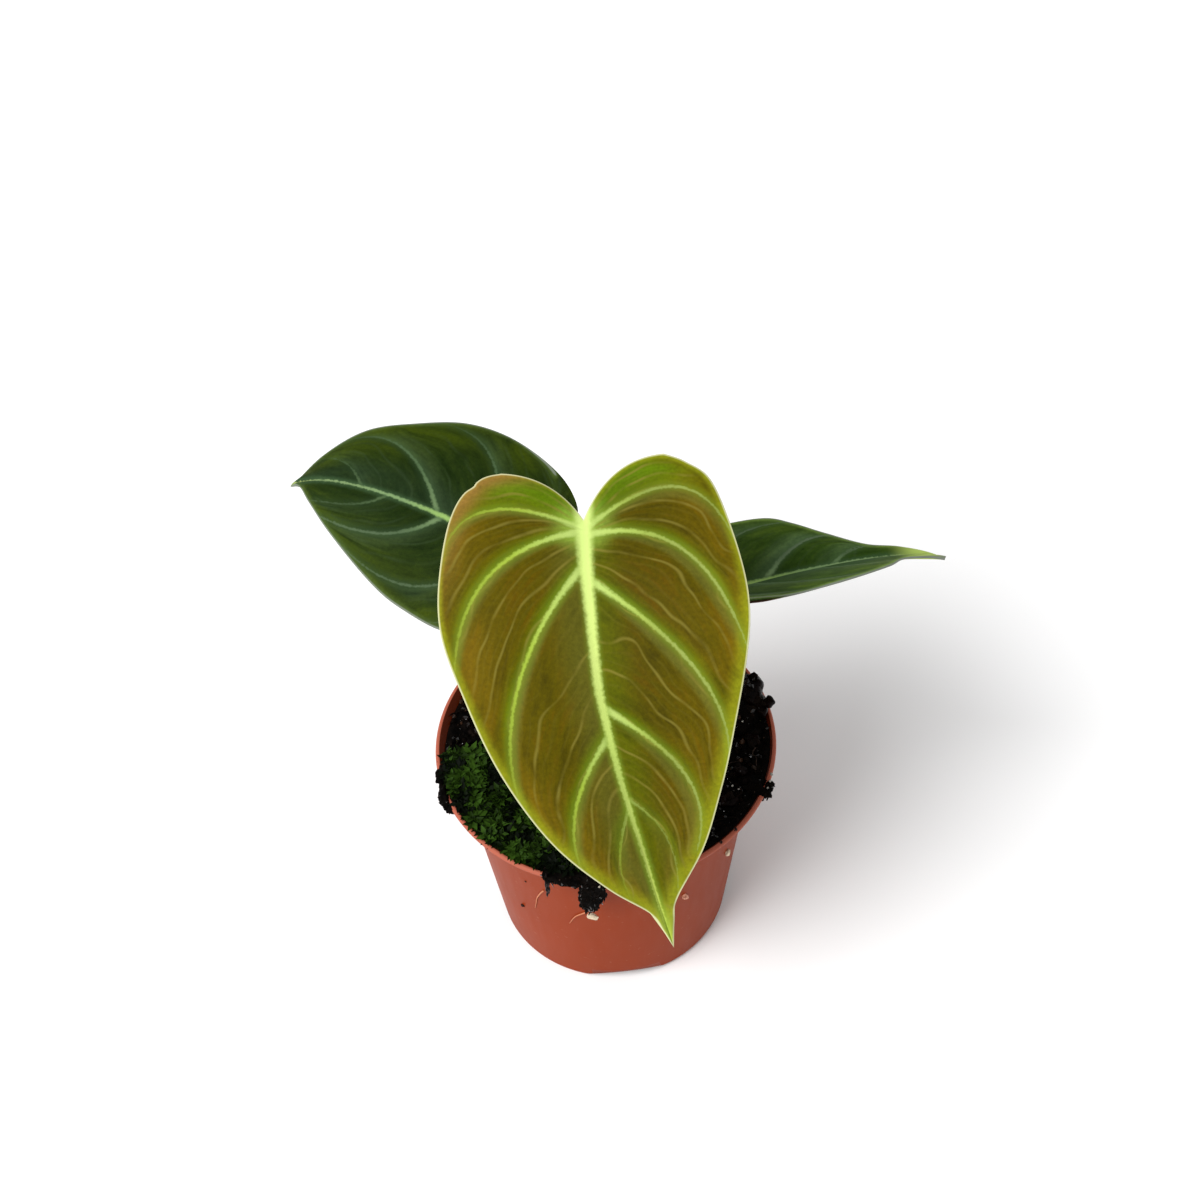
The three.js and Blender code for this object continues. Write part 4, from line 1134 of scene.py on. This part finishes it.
def crumbs_bmesh(ground, crumbs, fibres):
    """Crumbs, slivers and fibres on the mix and its clumps. Some are wet, bark brown or pale pumice."""
    rng = random.Random(3)
    bm = bmesh.new()
    bm.verts.layers.float.new("shade")
    templates = [crumb_mesh(seed) for seed in range(5)]
    threads = [fibre_mesh(seed) for seed in range(4)]

    def lay(mesh, place, turn, size, shade, index):
        matrix = Matrix.Translation(place) @ turn @ Matrix.Diagonal((*size, 1))
        scatter(bm, mesh, matrix, [shade] * len(mesh.vertices), index)

    def any_turn():
        return turned(*(6.3 * rng.random() for axis in range(3)))

    def kind():
        pick = rng.random()
        return next((index for share, index in CRUMB_KINDS if pick < share), 0)

    def somewhere(inner, width):
        return inner + width * math.sqrt(rng.random()), 2 * math.pi * rng.random()

    for k in range(crumbs):
        radius, angle = somewhere(*CRUMB_RING)
        around = THICK_MOSS["from"] < math.degrees(angle) < THICK_MOSS["to"]
        hidden = around and radius > THICK_MOSS["inner"]
        hit = None if hidden else lie_on(ground, radius, angle)
        if hit is None:
            continue
        size = 0.3 + 1.3 * rng.random() ** 3
        sizes = [size * (0.6 + 0.8 * rng.random()) for axis in range(3)]
        shade, index = rng.random(), kind()
        lay(templates[k % 5], hit + Vector((0, 0, size * 0.15)), any_turn(), sizes, shade, index)
    for k in range(fibres):
        hit = lie_on(ground, *somewhere(*FIBRE_RING))
        if hit is None:
            continue
        length = 1.5 + 3 * rng.random()
        flat = turned(0, 0.5 * (rng.random() - 0.5), 6.3 * rng.random())
        shade, index = 0.6 * rng.random(), 2 * (k % 5 == 0)
        lay(threads[k % 4], hit + Vector((0, 0, 0.12)), flat, [length] * 3, shade, index)
    for centre, half, seed, rough, count in CLUMPS:
        for k in range(count):
            way = Vector([rng.gauss(0, 1) for axis in range(3)]).normalized()
            start = Vector(centre) + Vector(way[i] * half[i] * 2.5 for i in range(3))
            hit = ground.ray_cast(start, Vector(centre) - start)[0]
            if hit is None:
                continue
            if k % 3 == 0:
                upright = turned(0.8 * (rng.random() - 0.5), 0.8 * (rng.random() - 0.5), 0)
                sizes = (0.3, 0.3, (0.9 + 1.2 * rng.random()) * rough)
                lay(templates[k % 5], hit + Vector((0, 0, -0.4)), upright, sizes, rng.random(), kind())
            else:
                size = (0.35 + 0.55 * rng.random()) * rough
                shade, index = rng.random(), kind()
                lay(templates[k % 5], hit, any_turn(), (size, size * 0.7, size * 0.8), shade, index)
    for mesh in (*templates, *threads):
        bpy.data.meshes.remove(mesh)
    return bm


def wet_peat(name, dark, light, roughness, specular, grain):
    # Peat and bark dust soaked with water: black, rough in the small, with a film that glints on some crumbs.
    material, node, place = surface(name)
    shade = node("Attribute", attribute_name="shade", out="Fac")
    patch = node("TexNoise", place, 1 / (1.6 * MM), 4)
    level = node("Math", shade, patch, patch, operation="MULTIPLY_ADD")
    tone = node("Mix", node("MapRange", level, 0.3, 1.2), dark, light, data_type="RGBA")
    relief = node("TexNoise", place, 1 / (grain * MM), 3)
    bump = node("Bump", Height=relief, Strength=0.8, Distance=0.2 * MM)
    node("OutputMaterial", node("BsdfPrincipled", Base_Color=tone, Normal=bump, Roughness=roughness,
                                Specular_IOR_Level=specular))
    return material


class PLANT_OT_mix(bpy.types.Operator):
    """Fill the pot with wet mix, and scatter its crumbs and fibres"""
    bl_idname = "plant.mix"
    bl_label = "Potting mix"

    def execute(self, context):
        settings = context.scene.plant_mix
        peat = wet_peat("wet black peat", "#030303", settings.colour, 0.6, 0.015, 0.5)
        film = wet_peat("wet film on a crumb", "#060504", settings.colour, 0.14, 0.45, 0.9)
        knob = wet_peat("wet film on a smooth lump", "#060302", "#180a08", 0.3, 0.04, 1.4)
        bark = wet_peat("wet composted bark", "#140b06", "#3a2414", 0.55, 0.2, 0.4)
        pumice = wet_peat("pumice grain", "#8f8878", "#cfc6b4", 0.8, 0.2, 0.3)
        bm = mix_bmesh()
        ground = BVHTree.FromBMesh(bm)
        finish_piece(bm, "potting_mix", [peat, knob], ["soil"])
        finish_piece(crumbs_bmesh(ground, settings.crumbs, settings.fibres), "mix_crumbs",
                     [peat, film, bark, pumice], smooth=False)
        return {"FINISHED"}


def moss_shoot():
    """One leafy shoot of moss: small broad leaves in a spiral, climbing from Z 0 to about 1."""
    bm = bmesh.new()
    leaf = [bm.verts.new(p) for p in ((0.04, 0, 0), (0.45, 0.27, 0.16), (1.05, 0, 0.3), (0.45, -0.27, 0.16))]
    faces = [bm.faces.new((leaf[0], leaf[1], leaf[2])), bm.faces.new((leaf[0], leaf[2], leaf[3]))]
    bmesh.ops.spin(bm, geom=leaf + faces, cent=(0, 0, 0), axis=(0, 0, 1), angle=math.radians(137.5 * 7),
                   steps=7, dvec=(0, 0, 0.13), use_duplicate=True)
    return mesh_from(bm, "moss_shoot")


def moss_bmesh(ground, count):
    rng = random.Random(7)
    bm = bmesh.new()
    bm.verts.layers.float.new("shade")
    shoot = moss_shoot()
    # Painted shade: each shoot darkens towards its foot.
    painted_shade_by_height = [0.3 + 0.7 * v.co.z for v in shoot.vertices]
    placed = 0
    for attempt in range(count * 4):
        if placed == count:
            break
        across, along = rng.random() ** 0.7, rng.random()
        radius = MOSS_AREA["inner"] + (MOSS_AREA["outer"] - MOSS_AREA["inner"]) * across
        angle = math.radians(MOSS_AREA["from"] + (MOSS_AREA["to"] - MOSS_AREA["from"]) * along)
        hit = lie_on(ground, radius, angle)
        if hit is None:
            continue
        tuft = noise.noise(Vector((hit.x * 0.33, hit.y * 0.33, 5)))
        thin = max(0, 1 - along * 7) + max(0, along * 6 - 5)
        if rng.random() < thin + max(0, -0.6 * tuft):
            continue
        size = 0.9 + 0.8 * rng.random() + 0.6 * max(0, tuft)
        turn = turned(0.9 * (rng.random() - 0.5), 0.9 * (rng.random() - 0.5), 6.3 * rng.random())
        rise = 0.9 * max(0, tuft) - 0.35
        bright = min(1, max(0.03, 0.3 + 1.7 * tuft + 0.6 * (rng.random() - 0.5)))
        place = Matrix.Translation(hit + Vector((0, 0, rise))) @ turn @ Matrix.Scale(size, 4)
        scatter(bm, shoot, place, [bright * height for height in painted_shade_by_height])
        placed += 1
    bpy.data.meshes.remove(shoot)
    return bm


def damp_moss(colour):
    # Leafy moss, one cell thick: dull deep green, with painted shade that darkens it to black low between the
    # shoots.
    material, node, place = surface("damp leafy moss")
    patch = node("MapRange", node("TexNoise", place, 1 / (1.2 * MM), 2), 0.3, 0.7, 0.6, 1.25)
    shade = node("Attribute", attribute_name="shade", out="Fac")
    level = node("Math", patch, shade, operation="MULTIPLY")
    tone = node("ValToRGB", level, stops=[(0, "#040703"), (0.3, [c * 0.16 for c in colour]),
                                          (0.65, [c * 0.5 for c in colour]), (1, colour)])
    node("OutputMaterial", node("BsdfPrincipled", Base_Color=tone, Roughness=0.5, Specular_IOR_Level=0.03))
    return material


class PLANT_OT_moss(bpy.types.Operator):
    """Grow the cushion of moss from leafy shoots"""
    bl_idname = "plant.moss"
    bl_label = "Moss"

    def execute(self, context):
        settings = context.scene.plant_moss
        bm = mix_bmesh()
        ground = BVHTree.FromBMesh(bm)
        bm.free()
        finish_piece(moss_bmesh(ground, settings.shoots), "moss_cushion", [damp_moss(settings.colour)],
                     ["moss"], smooth=False)
        return {"FINISHED"}


def chalky_grit(name, light, dark, grain):
    # Porous grain: chalky and matt, darker in its hollows.
    material, node, place = surface(name)
    pores = node("TexNoise", place, 1 / (grain * MM), 4)
    tone = node("Mix", node("MapRange", pores, 0.35, 0.65), dark, light, data_type="RGBA")
    bump = node("Bump", Height=pores, Strength=0.6, Distance=0.15 * MM)
    node("OutputMaterial", node("BsdfPrincipled", Base_Color=tone, Normal=bump, Roughness=0.8,
                                Specular_IOR_Level=0.15))
    return material


def on_wall(angle, z, out=0):
    """A place on the outside of the pot, at an angle in degrees and a height."""
    turn = math.radians(angle)
    return Vector((math.cos(turn), math.sin(turn), 0)) * (pot_radius(z) + out) + Vector((0, 0, z))


def grain_points(bm, subdivisions):
    return bmesh.ops.create_icosphere(bm, subdivisions=subdivisions, radius=1)["verts"]


class PLANT_OT_grit(bpy.types.Operator):
    """Stick the grit, bark, root threads and splashes of mix to the pot"""
    bl_idname = "plant.grit"
    bl_label = "Grit and threads"

    def execute(self, context):
        settings = context.scene.plant_grit
        darker_grit = [c * 0.5 for c in settings.grit]
        looks = {"grit": chalky_grit("chalky pumice grit", settings.grit, darker_grit, 0.5),
                 "bark": chalky_grit("shredded bark", "#dba087", "#8f5a44", 0.4)}
        for name, speck in SPECKS.items():
            bm = bmesh.new()
            size = speck["size"]
            centre = on_wall(speck["angle"], speck["z"], speck["out"] + size[1] * 0.55)
            turn = math.radians(speck["angle"] + 90)
            lie = Matrix.Rotation(turn, 3, "Z") @ Matrix.Rotation(math.radians(speck["tilt"]), 3, "Y")
            for vert in grain_points(bm, 4):
                p = vert.co * (1 + 0.3 * noise.noise(vert.co * 1.4 + Vector((speck["z"], 0, 0)))
                               + 0.2 * noise.noise(vert.co * 4))
                vert.co = centre + lie @ Vector(p[k] * size[k] for k in range(3))
            finish_piece(bm, f"{name}_grain", [looks[speck["slot"]]], [name])

        bm = bmesh.new()
        for k, (place, size) in enumerate(PERLITE):
            for vert in grain_points(bm, 3):
                p = vert.co * size * (1 + 0.6 * noise.noise(vert.co * 1.5 + Vector((k * 2.7, 0, 0))))
                vert.co = p + Vector(place)
        finish_piece(bm, "perlite_specks", [chalky_grit("perlite", "#c2bfb6", "#77746c", 0.3)])

        bm = bmesh.new()
        for route in ROOT_THREADS:
            places = [(x, -math.sqrt((pot_radius(z) + 0.12) ** 2 - x ** 2), z) for x, z in route]
            sweep(bm, smooth_route(places, 24), lambda t: settings.thread / MM * (0.5 - 0.3 * t), 6)
        root = chalky_grit("dry root thread", settings.root, [c * 0.7 for c in settings.root], 0.6)
        finish_piece(bm, "root_threads", [root])

        bm = bmesh.new()
        for k, (angle, z, size) in enumerate(SPLASHES):
            centre = on_wall(angle, z)
            if z > POT_TOP - 1:
                on_lip = Vector((RIM_RADIUS - LIP / 2, 0, z + 0.2))
                centre = Matrix.Rotation(math.radians(angle), 3, "Z") @ on_lip
            for vert in grain_points(bm, 3):
                p = vert.co * size * (1 + 0.7 * noise.noise(vert.co * 1.5 + Vector((k * 3.1, 0, 0))))
                p.z *= 0.7
                vert.co = centre + p
        splash = wet_peat("splash of wet mix", "#1c0b07", "#2c120b", 0.5, 0.2, 0.3)
        finish_piece(bm, "mix_splashes", [splash])
        return {"FINISHED"}


def white_board():
    # Matt white card: almost even, with the faint clouds and fine tooth of its paper.
    material, node, place = surface("matt white card")
    clouds = node("TexNoise", place, 1 / (90 * MM), 2)
    tone = node("Mix", clouds, "#f1f1f1", "#f5f5f5", data_type="RGBA")
    tooth = node("TexNoise", place, 1 / (0.3 * MM))
    bump = node("Bump", Height=tooth, Strength=0.05, Distance=0.02 * MM)
    node("OutputMaterial", node("BsdfPrincipled", Base_Color=tone, Normal=bump, Roughness=0.9,
                                Specular_IOR_Level=0.1))
    return material


class PLANT_OT_stage(bpy.types.Operator):
    """Set the pale floor, the soft lights and the camera"""
    bl_idname = "plant.stage"
    bl_label = "Stage"

    def execute(self, context):
        settings = context.scene.plant_stage
        scene = context.scene
        bm = bmesh.new()
        bmesh.ops.create_grid(bm, x_segments=1, y_segments=1, size=settings.floor / 2)
        floor = object_from("pale_floor", mesh_from(bm, "pale_floor"))
        floor.data.materials.append(white_board())

        world = bpy.data.worlds.new("soft studio")
        scene.world = world
        world.use_nodes = True
        background = world.node_tree.nodes["Background"]
        background.inputs["Color"].default_value = (1, 1, 1, 1)
        background.inputs["Strength"].default_value = settings.sky

        lamp = bpy.data.lights.new("key_light", "SUN")
        lamp.energy = settings.key
        lamp.angle = settings.softness
        key = object_from("key_light", lamp)
        key.rotation_euler = Vector(KEY_FROM).to_track_quat("Z", "Y").to_euler()

        camera = object_from("camera", bpy.data.cameras.new("camera"))
        right, up = Vector(CAMERA_RIGHT), Vector(CAMERA_UP)
        turn = Matrix((right, up, right.cross(up))).transposed().to_4x4()
        camera.matrix_world = Matrix.Translation(Vector(CAMERA_PLACE) * MM) @ turn
        camera.data.lens = CAMERA_LENS
        camera.data.sensor_width = CAMERA_SENSOR
        camera.data.clip_start = 0.01
        scene.camera = camera
        scene.view_settings.view_transform = "Standard"
        return {"FINISHED"}


class PLANT_PT_panel(bpy.types.Panel):
    """The steps of the potted plant, in the order in which they are made"""
    bl_label = "Potted philodendron"
    bl_idname = "PLANT_PT_panel"
    bl_space_type = "VIEW_3D"
    bl_region_type = "UI"
    bl_category = "Plant"

    def draw(self, context):
        for group, settings_class, operator in STEPS:
            box = self.layout.box()
            for name in settings_class.__annotations__:
                box.prop(getattr(context.scene, group), name)
            box.operator(operator.bl_idname)


STEPS = [
    ("plant_stage", StageSettings, PLANT_OT_stage),
    ("plant_pot", PotSettings, PLANT_OT_pot),
    ("plant_mix", MixSettings, PLANT_OT_mix),
    ("plant_moss", MossSettings, PLANT_OT_moss),
    ("plant_grit", GritSettings, PLANT_OT_grit),
    ("plant_stalks", StalkSettings, PLANT_OT_stalks),
    ("plant_leaves", LeafSettings, PLANT_OT_leaves),
]
CLASSES = [item for step in STEPS for item in step[1:]] + [PLANT_PT_panel]


def register():
    for item in CLASSES:
        bpy.utils.register_class(item)
    for group, settings_class, operator in STEPS:
        setattr(bpy.types.Scene, group, PointerProperty(type=settings_class))


def unregister():
    for group, settings_class, operator in STEPS:
        delattr(bpy.types.Scene, group)
    for item in reversed(CLASSES):
        bpy.utils.unregister_class(item)


def main():
    register()
    bpy.ops.plant.stage()
    bpy.ops.plant.pot()
    bpy.ops.plant.mix()
    bpy.ops.plant.moss()
    bpy.ops.plant.grit()
    bpy.ops.plant.stalks()
    bpy.ops.plant.leaves()


if __name__ == "__main__":
    main()
